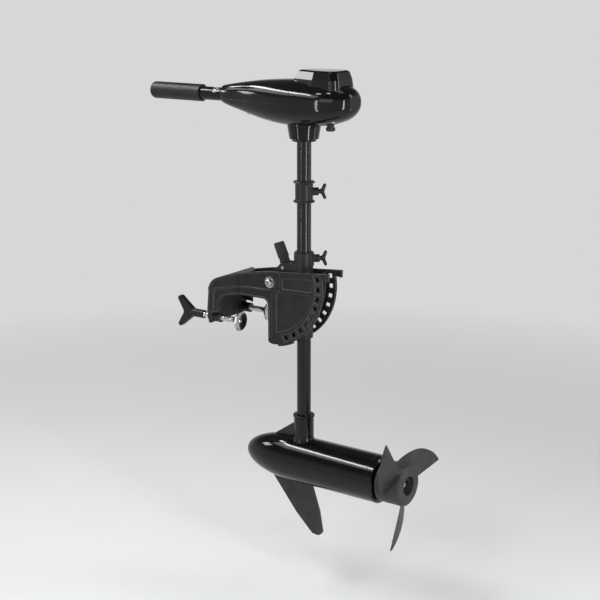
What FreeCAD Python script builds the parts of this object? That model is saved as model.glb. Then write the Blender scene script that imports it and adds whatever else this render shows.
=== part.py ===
"""Transom-mounted electric trolling motor, built as an assembly of separate pieces.

The row frame has its origin at the middle of the face that bears on the transom, +X aft, +Y to
starboard and +Z up. Each group of pieces is drawn about its own centre and placed from the sheet.
"""
import FreeCAD
import Part
import Sketcher
import math
import os
from FreeCAD import Placement, Rotation, Vector

document = FreeCAD.newDocument("trolling_motor")

DRIVING = {
    # clearances
    "running_clearance": 0.05,
    "free_clearance": 0.3,
    "side_clearance": 0.6,
    "seat_gap": 0.05,
    # bracket
    "pivot_aft": 4.5,
    "pivot_height": 84.4,
    "plate_gap": 42.0,
    "plate_thickness": 5.0,
    "rib_height": 1.6,
    "rim_margin": 12.0,
    "notch_circle": 117.0,
    "notch_width": 9.2,
    "notch_depth": 10.0,
    "notch_pitch": 10.0,
    "notch_count": 9.0,
    "first_notch": -70.0,
    "lock_groove_depth": 2.7,
    "face_bottom": -43.0,
    "face_corner": 6.0,
    "bottom_rim_angle": -87.0,
    "foot_start": -81.0,
    "foot_end": -64.0,
    "foot_depth": 3.5,
    "top_rim_angle": 9.5,
    "lug_tip": 147.0,
    "lug_depth": 15.0,
    "top_edge_aft_height": 119.5,
    "top_edge_mid_aft": 5.0,
    "top_edge_mid_height": 107.3,
    "top_edge_front": -104.0,
    "top_edge_front_height": 86.5,
    "top_edge_radius": 1100.0,
    "leg_front": -127.0,
    "leg_shoulder_front": -123.0,
    "leg_shoulder_height": 55.0,
    "leg_shoulder_radius": 32.0,
    "leg_inner": -101.0,
    "leg_end": 11.5,
    "wall_bottom": -12.0,
    "arch_height": 48.0,
    "arch_corner": 14.0,
    "flare_start": -72.0,
    "flare_end": -108.0,
    "flare_radius": 25.0,
    "yoke_half_width": 66.0,
    "yoke_wall": 6.0,
    "yoke_web_end": -62.0,
    "transom_wall": 8.0,
    # pockets in the bracket's outer faces
    "edge_rib": 3.5,
    "rib_width": 3.3,
    "relief_corner": 10.0,
    "diagonal_height": 67.8,
    "diagonal_slope": 0.0384,
    "branch_front": -113.7,
    "pivot_boss_radius": 13.0,
    "upper_pocket_back": 29.0,
    "face_strip_back": 8.0,
    "face_strip_bottom": -30.0,
    "panel_front": 20.5,
    "panel_radius": 102.5,
    "panel_start": -81.0,
    "panel_end": -8.5,
    "cell_front": 35.0,
    "cell_ledge": 5.5,
    "cell_drop": 14.0,
    "cell_start": -4.0,
    "cell_end": 10.0,
    "notch_cell_inner": 109.0,
    "notch_cell_outer": 124.5,
    "notch_cell_half": 4.4,
    "notch_cell_depth": 0.8,
    # pivot bolt
    "pivot_bolt_diameter": 10.0,
    "pivot_head_diameter": 16.0,
    "pivot_head_height": 6.0,
    "pivot_washer_diameter": 22.0,
    "pivot_washer_thickness": 1.6,
    "pivot_nut_height": 9.0,
    "pivot_nut_width": 17.0,
    # clamps
    "clamp_spread": 100.0,
    "clamp_boss_radius": 10.0,
    "clamp_boss_reach": 3.5,
    "clamp_rod_diameter": 12.0,
    "clamp_insert_diameter": 16.0,
    "clamp_pad_diameter": 42.0,
    "clamp_pad_face": -50.0,
    "clamp_pad_thickness": 5.0,
    "clamp_pad_hub_length": 9.0,
    "clamp_pad_hub_radius": 10.0,
    "clamp_ball_radius": 5.2,
    "clamp_ball_depth": 2.5,
    "clamp_knob_front": -178.0,
    "clamp_knob_back": -147.0,
    "clamp_knob_hub_diameter": 17.5,
    "clamp_wing_reach": 35.0,
    "clamp_wing_span": 64.0,
    "clamp_wing_tip": 7.0,
    "clamp_wing_valley": 22.5,
    "clamp_valley_half": 4.5,
    "clamp_wing_thickness": 15.0,
    "clamp_wing_edge": 3.0,
    # carrier
    "shaft_offset": 71.0,
    "carrier_bottom": -25.0,
    "collar_bottom": 124.0,
    "collar_top": 150.0,
    "carrier_sleeve_radius": 18.6,
    "collar_radius": 20.2,
    "barrel_radius": 14.0,
    "cheek_thickness": 5.0,
    "cheek_gap": 24.0,
    "lever_pin_out": 25.0,
    "lever_pin_up": 32.0,
    "lever_pin_diameter": 6.0,
    "lever_arm": 15.0,
    "lever_arm_angle": 15.0,
    "lever_width": 28.0,
    "lever_stem_width": 23.0,
    "lever_thickness": 7.0,
    "lever_reach": 52.0,
    "lever_lean": 24.0,
    "lever_hub_radius": 7.0,
    "lock_bar_diameter": 8.0,
    "lock_travel": 9.0,
    "lock_link_thickness": 4.0,
    "lock_link_width": 7.0,
    "lock_pin_diameter": 4.0,
    "lock_slot_play": 0.7,
    # shaft, liner and wing screws
    "shaft_diameter": 28.6,
    "shaft_wall": 2.4,
    "liner_wall": 1.6,
    "liner_flange": 2.0,
    "knob_azimuth": 40.0,
    "tension_height": 138.0,
    "screw_boss_radius": 8.0,
    "screw_boss_reach": 11.0,
    "screw_diameter": 6.0,
    "shoe_diameter": 9.0,
    "shoe_length": 3.0,
    "shoe_travel": 3.0,
    "wing_hub_diameter": 9.0,
    "wing_hub_length": 8.0,
    "wing_span": 30.0,
    "wing_reach": 6.5,
    "wing_tip": 3.5,
    "wing_valley": 1.5,
    "wing_valley_half": 3.0,
    "wing_thickness": 7.0,
    "wing_edge": 0.7,
    "depth_collar_bottom": 252.0,
    "depth_collar_top": 294.0,
    "depth_collar_wall": 3.4,
    "depth_collar_rim": 4.2,
    "depth_collar_rim_height": 5.0,
    # head
    "handle_height": 453.0,
    "nose_hole_depth": 80.0,
    "neck_drop": 80.0,
    "neck_height": 29.0,
    "neck_top_radius": 33.0,
    "neck_foot_radius": 28.0,
    "neck_corner": 5.0,
    "neck_spigot": 14.0,
    "shaft_inset": 29.0,
    "head_wall": 3.0,
    "head_seam": -6.0,
    "nose_reach": 193.0,
    "nose_radius": 18.5,
    "tail_reach": 118.0,
    "hump_front": -20.0,
    "hump_back": 90.0,
    "hump_base": 16.0,
    "hump_height": 59.0,
    "hump_width": 66.0,
    "hump_corner": 16.0,
    "switch_size": 42.0,
    "switch_length": 34.0,
    "switch_front": -92.0,
    "gland_out": 62.0,
    "gland_radius": 7.0,
    "gland_bottom": -57.0,
    "gland_length": 20.0,
    "gland_drop": 7.0,
    "gland_bore": 3.2,
    # handle
    "handle_diameter": 27.0,
    "handle_wall": 2.5,
    "handle_inner_reach": 165.0,
    "handle_outer_reach": 371.0,
    "spindle_plug": 12.0,
    "spindle_radius": 5.0,
    "bush_wall": 2.6,
    "bush_length": 16.0,
    "grip_diameter": 35.0,
    "grip_back": 252.0,
    "grip_front": 385.0,
    "grip_round": 9.0,
    # motor
    "motor_depth": 290.0,
    "motor_radius": 48.5,
    "motor_wall": 2.5,
    "nose_tip": 141.0,
    "nose_length": 122.0,
    "nose_wall": 3.5,
    "nose_seam": 23.0,
    "bell_seam": 178.0,
    "bell_back": 194.0,
    "spigot_length": 8.0,
    "spigot_wall": 3.0,
    "socket_radius": 20.7,
    "socket_top": 100.0,
    "socket_floor": 55.0,
    "socket_flare": 2.0,
    "socket_rim": 1.6,
    "socket_rim_height": 4.0,
    "wire_bore": 5.0,
    "skeg_length": 140.0,
    "skeg_depth": 160.0,
    "skeg_tip_round": 13.0,
    "skeg_thickness": 5.0,
    "fin_length": 72.0,
    "fin_height": 79.0,
    "fin_thickness": 3.5,
    "armature_radius": 5.0,
    "bearing_radius": 11.0,
    "bearing_width": 9.0,
    "front_bearing": -11.0,
    "bearing_web": 3.0,
    "ring_groove": 1.6,
    "core_radius": 31.0,
    "core_front": 55.0,
    "core_back": 130.0,
    "winding_radius": 27.0,
    "winding_reach": 12.0,
    "winding_gap": 2.0,
    "winding_bevel": 2.0,
    "commutator_radius": 13.0,
    "commutator_front": 14.0,
    "commutator_back": 34.0,
    "magnet_thickness": 7.0,
    "magnet_front": 50.0,
    "magnet_back": 140.0,
    "magnet_half_angle": 68.0,
    "brush_plate_front": 6.0,
    "brush_plate_thickness": 4.0,
    "brush_width": 9.0,
    "brush_height": 16.0,
    "seal_width": 6.0,
    "seal_radius": 10.0,
    "bolt_circle": 40.0,
    "bolt_diameter": 5.0,
    "bolt_head_diameter": 8.5,
    "bolt_head_height": 4.0,
    # propeller
    "hub_gap": 3.0,
    "hub_length": 55.0,
    "hub_radius": 42.0,
    "hub_end_radius": 40.5,
    "hub_cup_radius": 26.0,
    "hub_cup_depth": 2.0,
    "hub_front_bevel": 1.0,
    "hub_taper_length": 8.0,
    "hub_end_length": 2.0,
    "hub_end_bevel": 3.0,
    "recess_radius": 20.0,
    "recess_depth": 22.0,
    "blade_pitch": 130.0,
    "blade_setback": 7.0,
    "blade_thinning": 0.6,
    "blade_start_angle": 5.0,
    "blade_thickness": 5.5,
    "blade_root_sink": 1.0,
    "drive_pin_depth": 7.0,
    "prop_nut_width": 15.0,
    "prop_nut_height": 8.0,
    "prop_washer_radius": 10.0,
    "prop_washer_thickness": 1.6,
    "drive_pin_diameter": 4.0,
    "drive_pin_length": 32.0,
}


# ---------------------------------------------------------------- sizes that carry their formula
class Size:
    """A length or an angle with its value and the formula that gives it in the sheet."""

    def __init__(self, value, formula):
        self.value = value
        self.formula = formula

    def __add__(self, other):
        other = as_size(other)
        return Size(self.value + other.value, f"({self.formula} + {other.formula})")

    def __sub__(self, other):
        other = as_size(other)
        return Size(self.value - other.value, f"({self.formula} - {other.formula})")

    def __mul__(self, other):
        other = as_size(other)
        return Size(self.value * other.value, f"({self.formula} * {other.formula})")

    def __truediv__(self, other):
        other = as_size(other)
        return Size(self.value / other.value, f"({self.formula} / {other.formula})")

    def __radd__(self, other):
        return as_size(other) + self

    def __rsub__(self, other):
        return as_size(other) - self

    def __rmul__(self, other):
        return as_size(other) * self

    def __neg__(self):
        return Size(-self.value, f"(0 - {self.formula})")


def as_size(number):
    if isinstance(number, Size):
        return number
    return Size(float(number), f"({float(number):.6f})")


def cosine(angle):
    return Size(math.cos(math.radians(angle.value)), f"cos({angle.formula})")


def sine(angle):
    return Size(math.sin(math.radians(angle.value)), f"sin({angle.formula})")


def root(square):
    return Size(math.sqrt(square.value), f"sqrt({square.formula})")


class Named:
    """The driving sizes, read by name."""


def fill_sheet():
    sheet = document.addObject("Spreadsheet::Sheet", "Sizes")
    named = Named()
    for row, (name, value) in enumerate(DRIVING.items(), start=1):
        sheet.set(f"A{row}", name)
        sheet.set(f"B{row}", str(value))
        sheet.setAlias(f"B{row}", name)
        setattr(named, name, Size(value, f"Sizes.{name}"))
    document.recompute()
    return named


S = fill_sheet()
kept = []


# ---------------------------------------------------------------- drawing
def arc_between(start, end, radius):
    """The shorter arc from start to end; a positive radius turns left and a negative one right."""
    chord = end - start
    half = chord.Length / 2
    side = Vector(-chord.y, chord.x, 0).normalize()
    drop = math.sqrt(max(radius * radius - half * half, 0.0))
    centre = (start + end) / 2 + side * math.copysign(drop, radius)
    circle = Part.Circle(centre, Vector(0, 0, 1), abs(radius))
    first, last = (start, end) if radius > 0 else (end, start)
    return Part.ArcOfCircle(circle, circle.parameter(first), circle.parameter(last))


def bind(sketch, kind, where, size):
    size = as_size(size)
    index = sketch.addConstraint(Sketcher.Constraint(kind, *where, size.value))
    sketch.setExpression(f"Constraints[{index}]", size.formula)


def draw_outline(sketch, corners):
    """A closed outline. A corner's third value is the radius of the arc that leads to the next."""
    first = sketch.GeometryCount
    ends = []
    for number, corner in enumerate(corners):
        following = corners[(number + 1) % len(corners)]
        start = Vector(as_size(corner[0]).value, as_size(corner[1]).value, 0)
        end = Vector(as_size(following[0]).value, as_size(following[1]).value, 0)
        if len(corner) == 3:
            radius = as_size(corner[2])
            sketch.addGeometry(arc_between(start, end, radius.value))
            ends.append((1, 2) if radius.value > 0 else (2, 1))
        else:
            sketch.addGeometry(Part.LineSegment(start, end))
            ends.append((1, 2))
    for number, corner in enumerate(corners):
        following = (number + 1) % len(corners)
        here = first + number
        joint = (here, ends[number][1], first + following, ends[following][0])
        sketch.addConstraint(Sketcher.Constraint("Coincident", *joint))
        bind(sketch, "DistanceX", (here, ends[number][0]), corner[0])
        bind(sketch, "DistanceY", (here, ends[number][0]), corner[1])
        if len(corner) == 3:
            radius = as_size(corner[2])
            bind(sketch, "Radius", (here,), radius if radius.value > 0 else -radius)


def draw_circle(sketch, x, y, radius):
    x, y, radius = as_size(x), as_size(y), as_size(radius)
    circle = Part.Circle(Vector(x.value, y.value, 0), Vector(0, 0, 1), radius.value)
    index = sketch.addGeometry(circle)
    bind(sketch, "DistanceX", (index, 3), x)
    bind(sketch, "DistanceY", (index, 3), y)
    bind(sketch, "Radius", (index,), radius)


def draw(sketch, shapes):
    """Each shape is a list of corners, or a (x, y, radius) circle."""
    for shape in shapes:
        if isinstance(shape, tuple):
            draw_circle(sketch, *shape)
        else:
            draw_outline(sketch, shape)


def new_body(name):
    return document.addObject("PartDesign::Body", name)


def new_sketch(body, plane, offset=0):
    sketch = body.newObject("Sketcher::SketchObject", body.Name + "_sketch")
    support = [f for f in body.Origin.OriginFeatures if f.Role == plane][0]
    sketch.AttachmentSupport = (support, [""])
    sketch.MapMode = "FlatFace"
    sketch.setExpression("AttachmentOffset.Base.z", as_size(offset).formula)
    return sketch


def turn(body, axis, corners, angle=360):
    """Turns an outline of (along the axis, radius) corners about X, Y or Z."""
    plane = {"X": "XZ_Plane", "Y": "YZ_Plane", "Z": "XZ_Plane"}[axis]
    sketch = new_sketch(body, plane)
    if axis == "Z":
        corners = [(c[1], c[0], *[-as_size(r) for r in c[2:]]) for c in corners]
    draw_outline(sketch, corners)
    feature = body.newObject("PartDesign::Revolution", body.Name + "_turn")
    feature.Profile = sketch
    feature.ReferenceAxis = (sketch, ["V_Axis" if axis == "Z" else "H_Axis"])
    feature.Angle = angle
    return feature


def spread(body, kind, plane, shapes, low, high):
    """A pad or pocket of the shapes drawn on a plane, from low to high along its world axis."""
    low, high = as_size(low), as_size(high)
    upward = plane != "XZ_Plane"
    at_low = upward if kind == "Pad" else not upward
    offset = low if at_low else high
    sketch = new_sketch(body, plane, offset if upward else -offset)
    draw(sketch, shapes)
    before = body.Shape.Volume if kind == "Pocket" else 0
    feature = body.newObject(f"PartDesign::{kind}", f"{body.Name}_{kind}")
    feature.Profile = sketch
    feature.setExpression("Length", (high - low).formula)
    document.recompute()
    if kind == "Pocket" and not body.Shape.Volume < before:
        raise RuntimeError(f"{feature.Name} cuts nothing")
    return feature


def pad(body, plane, shapes, low, high):
    return spread(body, "Pad", plane, shapes, low, high)


def pocket(body, plane, shapes, low, high):
    return spread(body, "Pocket", plane, shapes, low, high)


def place(thing, x=0, y=0, z=0, turned=None):
    if turned is not None:
        thing.Placement = Placement(Vector(), Rotation(Vector(0, 0, 1), turned.value))
        thing.setExpression("Placement.Rotation.Angle", turned.formula)
    for axis, value in zip("xyz", (x, y, z)):
        thing.setExpression(f"Placement.Base.{axis}", as_size(value).formula)
    return thing


def keep(thing, label):
    thing.Label = label
    kept.append(thing)
    return thing


def join(name, *things):
    fused = document.addObject("Part::MultiFuse", name)
    fused.Shapes = list(things)
    return fused


def cut(name, base, tool):
    result = document.addObject("Part::Cut", name)
    result.Base = base
    result.Tool = tool
    return result


def common(name, *things):
    result = document.addObject("Part::MultiCommon", name)
    result.Shapes = list(things)
    return result


def group(name, things):
    compound = document.addObject("Part::Compound", name)
    compound.Links = list(things)
    return compound


def mirrored(name, source):
    """The same piece on the other side of the boat's centre plane."""
    mirror = document.addObject("Part::Mirroring", name)
    mirror.Source = source
    mirror.Normal = Vector(0, 1, 0)
    return mirror


def block(name, low, high):
    """A box between two corners."""
    box = document.addObject("Part::Box", name)
    for side, first, last in zip(("Length", "Width", "Height"), low, high):
        box.setExpression(side, (as_size(last) - first).formula)
    return place(box, *low)


def turned_piece(label, axis, corners, x=0, y=0, z=0, turned=None):
    body = new_body(label)
    turn(body, axis, corners)
    place(body, x, y, z, turned)
    return keep(body, label)


def edges_where(shape, test):
    return [f"Edge{n}" for n, edge in enumerate(shape.Edges, start=1) if test(edge)]


def fillet(body, test, radius):
    document.recompute()
    base = body.Tip
    feature = body.newObject("PartDesign::Fillet", body.Name + "_fillet")
    feature.Base = (base, edges_where(base.Shape, test))
    feature.setExpression("Radius", as_size(radius).formula)
    return feature


# ---------------------------------------------------------------- shared places
half_gap = S.plate_gap / 2
plate_outer = half_gap + S.plate_thickness
shaft_out = S.shaft_offset - S.pivot_aft
shaft_radius = S.shaft_diameter / 2
liner_bore = shaft_radius + S.running_clearance
liner_radius = liner_bore + S.liner_wall
sleeve_bore = liner_radius + S.running_clearance
lock_rest = S.notch_circle - S.lock_travel
rim_radius = S.notch_circle + S.rim_margin
neck_bottom = S.handle_height - S.neck_drop


def from_pivot(radius, angle):
    return cosine(angle) * radius + S.pivot_aft, sine(angle) * radius + S.pivot_height


def around(radius, angle):
    return cosine(angle) * radius, sine(angle) * radius


# ---------------------------------------------------------------- bracket
def top_edge(x):
    """Height of the straight part of the top edge at x."""
    rise = (S.top_edge_aft_height - S.top_edge_mid_height) / (S.lug_tip - S.top_edge_mid_aft)
    return S.top_edge_mid_height + (x - S.top_edge_mid_aft) * rise


def side_outline():
    """The side plate: quadrant aft of the transom, arch over it and the leg in front."""
    foot = rim_radius + S.foot_depth
    return [
        (0, S.face_bottom + S.face_corner, S.face_corner),
        (S.face_corner, S.face_bottom),
        (*from_pivot(rim_radius, S.bottom_rim_angle), rim_radius),
        from_pivot(rim_radius, S.foot_start),
        (*from_pivot(foot, S.foot_start), foot),
        from_pivot(foot, S.foot_end),
        (*from_pivot(rim_radius, S.foot_end), rim_radius),
        from_pivot(rim_radius, S.top_rim_angle),
        (S.lug_tip, S.top_edge_aft_height - S.lug_depth),
        (S.lug_tip, S.top_edge_aft_height),
        (S.top_edge_mid_aft, S.top_edge_mid_height, S.top_edge_radius),
        (S.top_edge_front, S.top_edge_front_height, S.leg_shoulder_radius),
        (S.leg_shoulder_front, S.leg_shoulder_height),
        (S.leg_front, S.leg_end),
        (S.leg_inner, S.leg_end),
        (S.leg_inner, S.arch_height - S.arch_corner, -S.arch_corner),
        (S.leg_inner + S.arch_corner, S.arch_height),
        (-S.arch_corner, S.arch_height, -S.arch_corner),
        (0, S.arch_height - S.arch_corner),
    ]


def diagonal(x, over):
    """Height over the centre line of the long rib that runs below the pivot."""
    return S.diagonal_height + (x - S.pivot_aft) * S.diagonal_slope + over


def pocket_outlines():
    """Four areas of the outer face between its rim, the long rib and the pivot's boss."""
    rim, bend, half = S.edge_rib, S.relief_corner, S.rib_width / 2
    front, back = S.branch_front, S.branch_front + S.rib_width
    foot = S.leg_end + rim
    upper = [
        (S.leg_front + rim, foot),
        (front, foot),
        (front, diagonal(front, half) - bend, -bend),
        (front + bend, diagonal(front + bend, half)),
        (S.upper_pocket_back, diagonal(S.upper_pocket_back, half)),
        (S.upper_pocket_back, top_edge(S.upper_pocket_back) - rim),
        (S.top_edge_mid_aft, S.top_edge_mid_height - rim, S.top_edge_radius - rim),
        (S.top_edge_front, S.top_edge_front_height - rim, S.leg_shoulder_radius - rim),
        (S.leg_shoulder_front + rim, S.leg_shoulder_height),
    ]
    side = S.face_strip_back
    lower = [
        (back, foot),
        (S.leg_inner - rim, foot),
        (S.leg_inner - rim, S.arch_height - S.arch_corner, -(S.arch_corner + rim)),
        (S.leg_inner + S.arch_corner, S.arch_height + rim),
        (-S.arch_corner, S.arch_height + rim, -(S.arch_corner + rim)),
        (rim, S.arch_height - S.arch_corner),
        (rim, S.face_strip_bottom),
        (side, S.face_strip_bottom),
        (side, diagonal(side, -half) - bend, bend),
        (side - bend, diagonal(side - bend, -half)),
        (back + bend, diagonal(back + bend, -half), bend),
        (back, diagonal(back, -half) - bend),
    ]
    panel = [
        (*from_pivot(S.panel_radius, S.panel_start), S.panel_radius),
        from_pivot(S.panel_radius, S.panel_end),
        (S.panel_front + bend, diagonal(S.panel_front + bend, -half), bend),
        (S.panel_front, diagonal(S.panel_front, -half) - bend),
    ]
    cell = [
        (S.cell_front, diagonal(S.cell_front, S.cell_ledge)),
        (*from_pivot(S.panel_radius, S.cell_start), S.panel_radius),
        from_pivot(S.panel_radius, S.cell_end),
        (S.cell_front, top_edge(S.cell_front) - S.cell_drop),
    ]
    return [upper, (S.pivot_aft, S.pivot_height, S.pivot_boss_radius), lower, panel, cell]


def notch_cell(angle):
    """Area of the outer face around one notch."""
    low, high = angle - S.notch_cell_half, angle + S.notch_cell_half
    inner, outer = S.notch_cell_inner, S.notch_cell_outer
    return [
        from_pivot(inner, low),
        (*from_pivot(outer, low), outer),
        from_pivot(outer, high),
        (*from_pivot(inner, high), -inner),
    ]


def plan_line(distance):
    """Half-widths of the flared plan line that lies the given distance inside the outer face."""
    return plate_outer - distance, S.yoke_half_width - distance


def plan_band(name, outer, inner):
    """A tall sheet that follows the flare of the side plates, on the port side."""
    reach = 20
    near_out, far_out = plan_line(outer)
    near_in, far_in = plan_line(inner)
    body = new_body(name)
    corners = [
        (S.lug_tip + reach, -near_out),
        (S.flare_start, -near_out),
        (S.flare_end, -far_out),
        (S.leg_front - reach, -far_out),
        (S.leg_front - reach, -far_in),
        (S.flare_end, -far_in),
        (S.flare_start, -near_in),
        (S.lug_tip + reach, -near_in),
    ]
    pad(body, "XY_Plane", [corners], S.face_bottom - reach, S.top_edge_aft_height + reach)
    fillet(body, is_flare_bend, S.flare_radius)
    return body


def is_flare_bend(edge):
    """An upright edge where the side plates start or stop spreading."""
    box = edge.BoundBox
    upright = box.XLength < 0.01 and box.YLength < 0.01
    return upright and any(abs(box.XMin - x.value) < 0.01 for x in (S.flare_start, S.flare_end))


def side_plate():
    profile = new_body("side_profile")
    pad(profile, "XZ_Plane", [side_outline()], -S.yoke_half_width - 1, 0)
    band = plan_band("side_band", as_size(0), S.plate_thickness)
    plate = common("side_blank", profile, band)
    prisms = new_body("relief_prisms")
    pad(prisms, "XZ_Plane", pocket_outlines(), -S.yoke_half_width - 1, 0)
    relief = common("relief", prisms, plan_band("relief_band", -S.rib_height, S.rib_height))
    tools = new_body("side_tools")
    pad(
        tools, "XZ_Plane", [(S.pivot_aft, S.pivot_height, S.pivot_bolt_diameter / 2)],
        -plate_outer - 1, -half_gap + 1,
    )
    groove = new_body("lock_groove")
    margin = S.lock_bar_diameter / 2 + S.free_clearance
    last = S.first_notch + S.notch_pitch * (S.notch_count - 1)
    start, end = S.first_notch - 4, last + 4
    inner, outer = lock_rest - margin, S.notch_circle - S.notch_depth / 2 + 1
    pad(
        groove, "XZ_Plane",
        [[
            (*from_pivot(inner, start), inner), from_pivot(inner, end),
            (*from_pivot(outer, end), -outer), from_pivot(outer, start),
        ]],
        -half_gap - S.lock_groove_depth, -half_gap + 1,
    )
    notches = []
    cells = new_body("notch_cells")
    angles = [S.first_notch + S.notch_pitch * number for number in range(int(S.notch_count.value))]
    pad(
        cells, "XZ_Plane", [notch_cell(angle) for angle in angles],
        -plate_outer - 1, -plate_outer + S.notch_cell_depth,
    )
    for number, angle in enumerate(angles):
        notch = new_body(f"notch_{number}")
        corners = []
        for radial, side in ((-0.5, -0.5), (0.5, -0.5), (0.5, 0.5), (-0.5, 0.5)):
            out = S.notch_circle + S.notch_depth * radial
            over = S.notch_width * side
            x = cosine(angle) * out - sine(angle) * over + S.pivot_aft
            z = sine(angle) * out + cosine(angle) * over + S.pivot_height
            corners.append((x, z))
        pad(notch, "XZ_Plane", [corners], -plate_outer - 1, -half_gap + 1)
        notches.append(notch)
    tool = join("side_cuts", tools, groove, relief, cells, *notches)
    return cut("side_plate", plate, tool)


def yoke():
    """Front wall and curved hood between the side plates, with the two screw bosses."""
    wall = S.yoke_wall
    slope = (S.top_edge_mid_height - S.top_edge_front_height) / (
        S.top_edge_mid_aft - S.top_edge_front
    )
    hood_top = S.top_edge_front_height + slope * (S.yoke_web_end - S.top_edge_front)
    corners = [
        (S.yoke_web_end, hood_top),
        (S.top_edge_front, S.top_edge_front_height, S.leg_shoulder_radius),
        (S.leg_shoulder_front, S.leg_shoulder_height),
        (S.leg_front, S.leg_end),
        (S.leg_front, S.wall_bottom),
        (S.leg_front + wall, S.wall_bottom),
        (S.leg_front + wall, S.leg_end),
        (S.leg_shoulder_front + wall, S.leg_shoulder_height, -(S.leg_shoulder_radius - wall)),
        (S.top_edge_front, S.top_edge_front_height - wall),
        (S.yoke_web_end, hood_top - wall),
    ]
    profile = new_body("yoke_profile")
    pad(profile, "XZ_Plane", [corners], -S.yoke_half_width, S.yoke_half_width)
    near, far = plan_line(S.plate_thickness)
    plan = new_body("yoke_plan")
    front = S.leg_front - S.clamp_boss_reach
    outline = [
        (0, -near), (0, near), (S.flare_start, near), (S.flare_end, far),
        (front, far), (front, -far), (S.flare_end, -far), (S.flare_start, -near),
    ]
    pad(plan, "XY_Plane", [outline], S.face_bottom, S.top_edge_aft_height)

    fillet(plan, is_flare_bend, S.flare_radius)
    shell = common("yoke_shell", profile, plan)
    bosses = new_body("yoke_bosses")
    places = [(side * S.clamp_spread / 2, 0, S.clamp_boss_radius) for side in (-1, 1)]
    pad(bosses, "YZ_Plane", places, front, S.leg_inner)
    bores = new_body("yoke_bores")
    places = [(side * S.clamp_spread / 2, 0, S.clamp_insert_diameter / 2) for side in (-1, 1)]
    pad(bores, "YZ_Plane", places, front - 1, S.leg_inner + 1)
    return keep(cut("clamp_yoke", join("yoke_solid", shell, bosses), bores), "clamp_yoke")


def bracket():
    port = side_plate()
    keep(port, "bracket_port_side")
    keep(mirrored("starboard_plate", port), "bracket_starboard_side")
    yoke()
    wall = new_body("transom_plate")
    low, high = S.face_bottom + S.face_corner, S.arch_height - S.arch_corner
    corners = [(0, low), (S.transom_wall, low), (S.transom_wall, high), (0, high)]
    pad(wall, "XZ_Plane", [corners], -half_gap, half_gap)
    keep(wall, "transom_plate")
    inserts = []
    for side in (-1, 1):
        insert = new_body("clamp_insert")
        back = S.leg_inner
        front = S.leg_front - S.clamp_boss_reach
        bore = S.clamp_rod_diameter / 2 + S.running_clearance
        outer = S.clamp_insert_diameter / 2
        turn(insert, "X", [(front, bore), (back, bore), (back, outer), (front, outer)])
        place(insert, 0, side * S.clamp_spread / 2, 0)
        inserts.append(insert)
    keep(group("inserts", inserts), "clamp_inserts")


def pivot():
    bolt = S.pivot_bolt_diameter / 2
    head = S.pivot_head_diameter / 2
    washer = S.pivot_washer_thickness
    start = -plate_outer - washer
    end = plate_outer + washer + S.pivot_nut_height + 3
    shank = new_body("pivot_bolt")
    crown = start - S.pivot_head_height
    turn(
        shank, "Y",
        [(crown, 0), (end, 0), (end, bolt), (start, bolt), (start, head), (crown + 2, head),
         (crown, head - 2)],
    )
    place(shank, S.pivot_aft, 0, S.pivot_height)
    keep(shank, "pivot_bolt")
    washers = []
    for low in (-plate_outer - washer, plate_outer):
        ring = new_body("pivot_washer")
        outer = S.pivot_washer_diameter / 2
        turn(ring, "Y", [(low, bolt), (low + washer, bolt), (low + washer, outer), (low, outer)])
        washers.append(place(ring, S.pivot_aft, 0, S.pivot_height))
    keep(group("washers", washers), "pivot_washers")
    nut = hexagon_nut(
        "pivot_nut", "XZ_Plane", S.pivot_nut_width, bolt, plate_outer + washer, S.pivot_nut_height
    )
    keep(place(nut, S.pivot_aft, 0, S.pivot_height), "pivot_nut")


def hexagon_nut(name, plane, width, bore, low, height):
    body = new_body(name)
    corner = width / math.sqrt(3)
    corners = [
        (corner * math.cos(math.radians(60 * n)), corner * math.sin(math.radians(60 * n)))
        for n in range(6)
    ]
    pad(body, plane, [corners, (0, 0, bore)], low, low + height)
    return body


# ---------------------------------------------------------------- clamps
BEYOND = 100.0  # reach of a cutting tool past the solid that it cuts
TIP_ROUND = 0.72  # share of the cut across a wing's tip
VALLEY_ROUND = 1.9  # share of the valley's half width


def wing_plate(name, end, toward, hub, sizes):
    """Two wings that lean away from the hub's end, with round tips and a round valley."""
    reach, half, tip, valley, valley_half, thickness, edge = sizes
    root = end - tip * toward * 0.4
    crest = end + reach * toward
    base = end + valley * toward
    tip_round = tip * TIP_ROUND * -toward
    corners = [
        (root, -hub), (root, hub),
        (crest - tip * toward, half, tip_round), (crest, half - tip),
        (base, valley_half, valley_half * VALLEY_ROUND * toward), (base, -valley_half),
        (crest, tip - half, tip_round), (crest - tip * toward, -half),
    ]
    body = new_body(name)
    pad(body, "XZ_Plane", [corners], -thickness / 2, thickness / 2)
    faces = (-thickness.value / 2, thickness.value / 2)

    def is_rim(side):
        box = side.BoundBox
        return box.YLength < 0.01 and any(abs(box.YMin - face) < 0.01 for face in faces)

    fillet(body, is_rim, edge)
    return body


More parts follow.
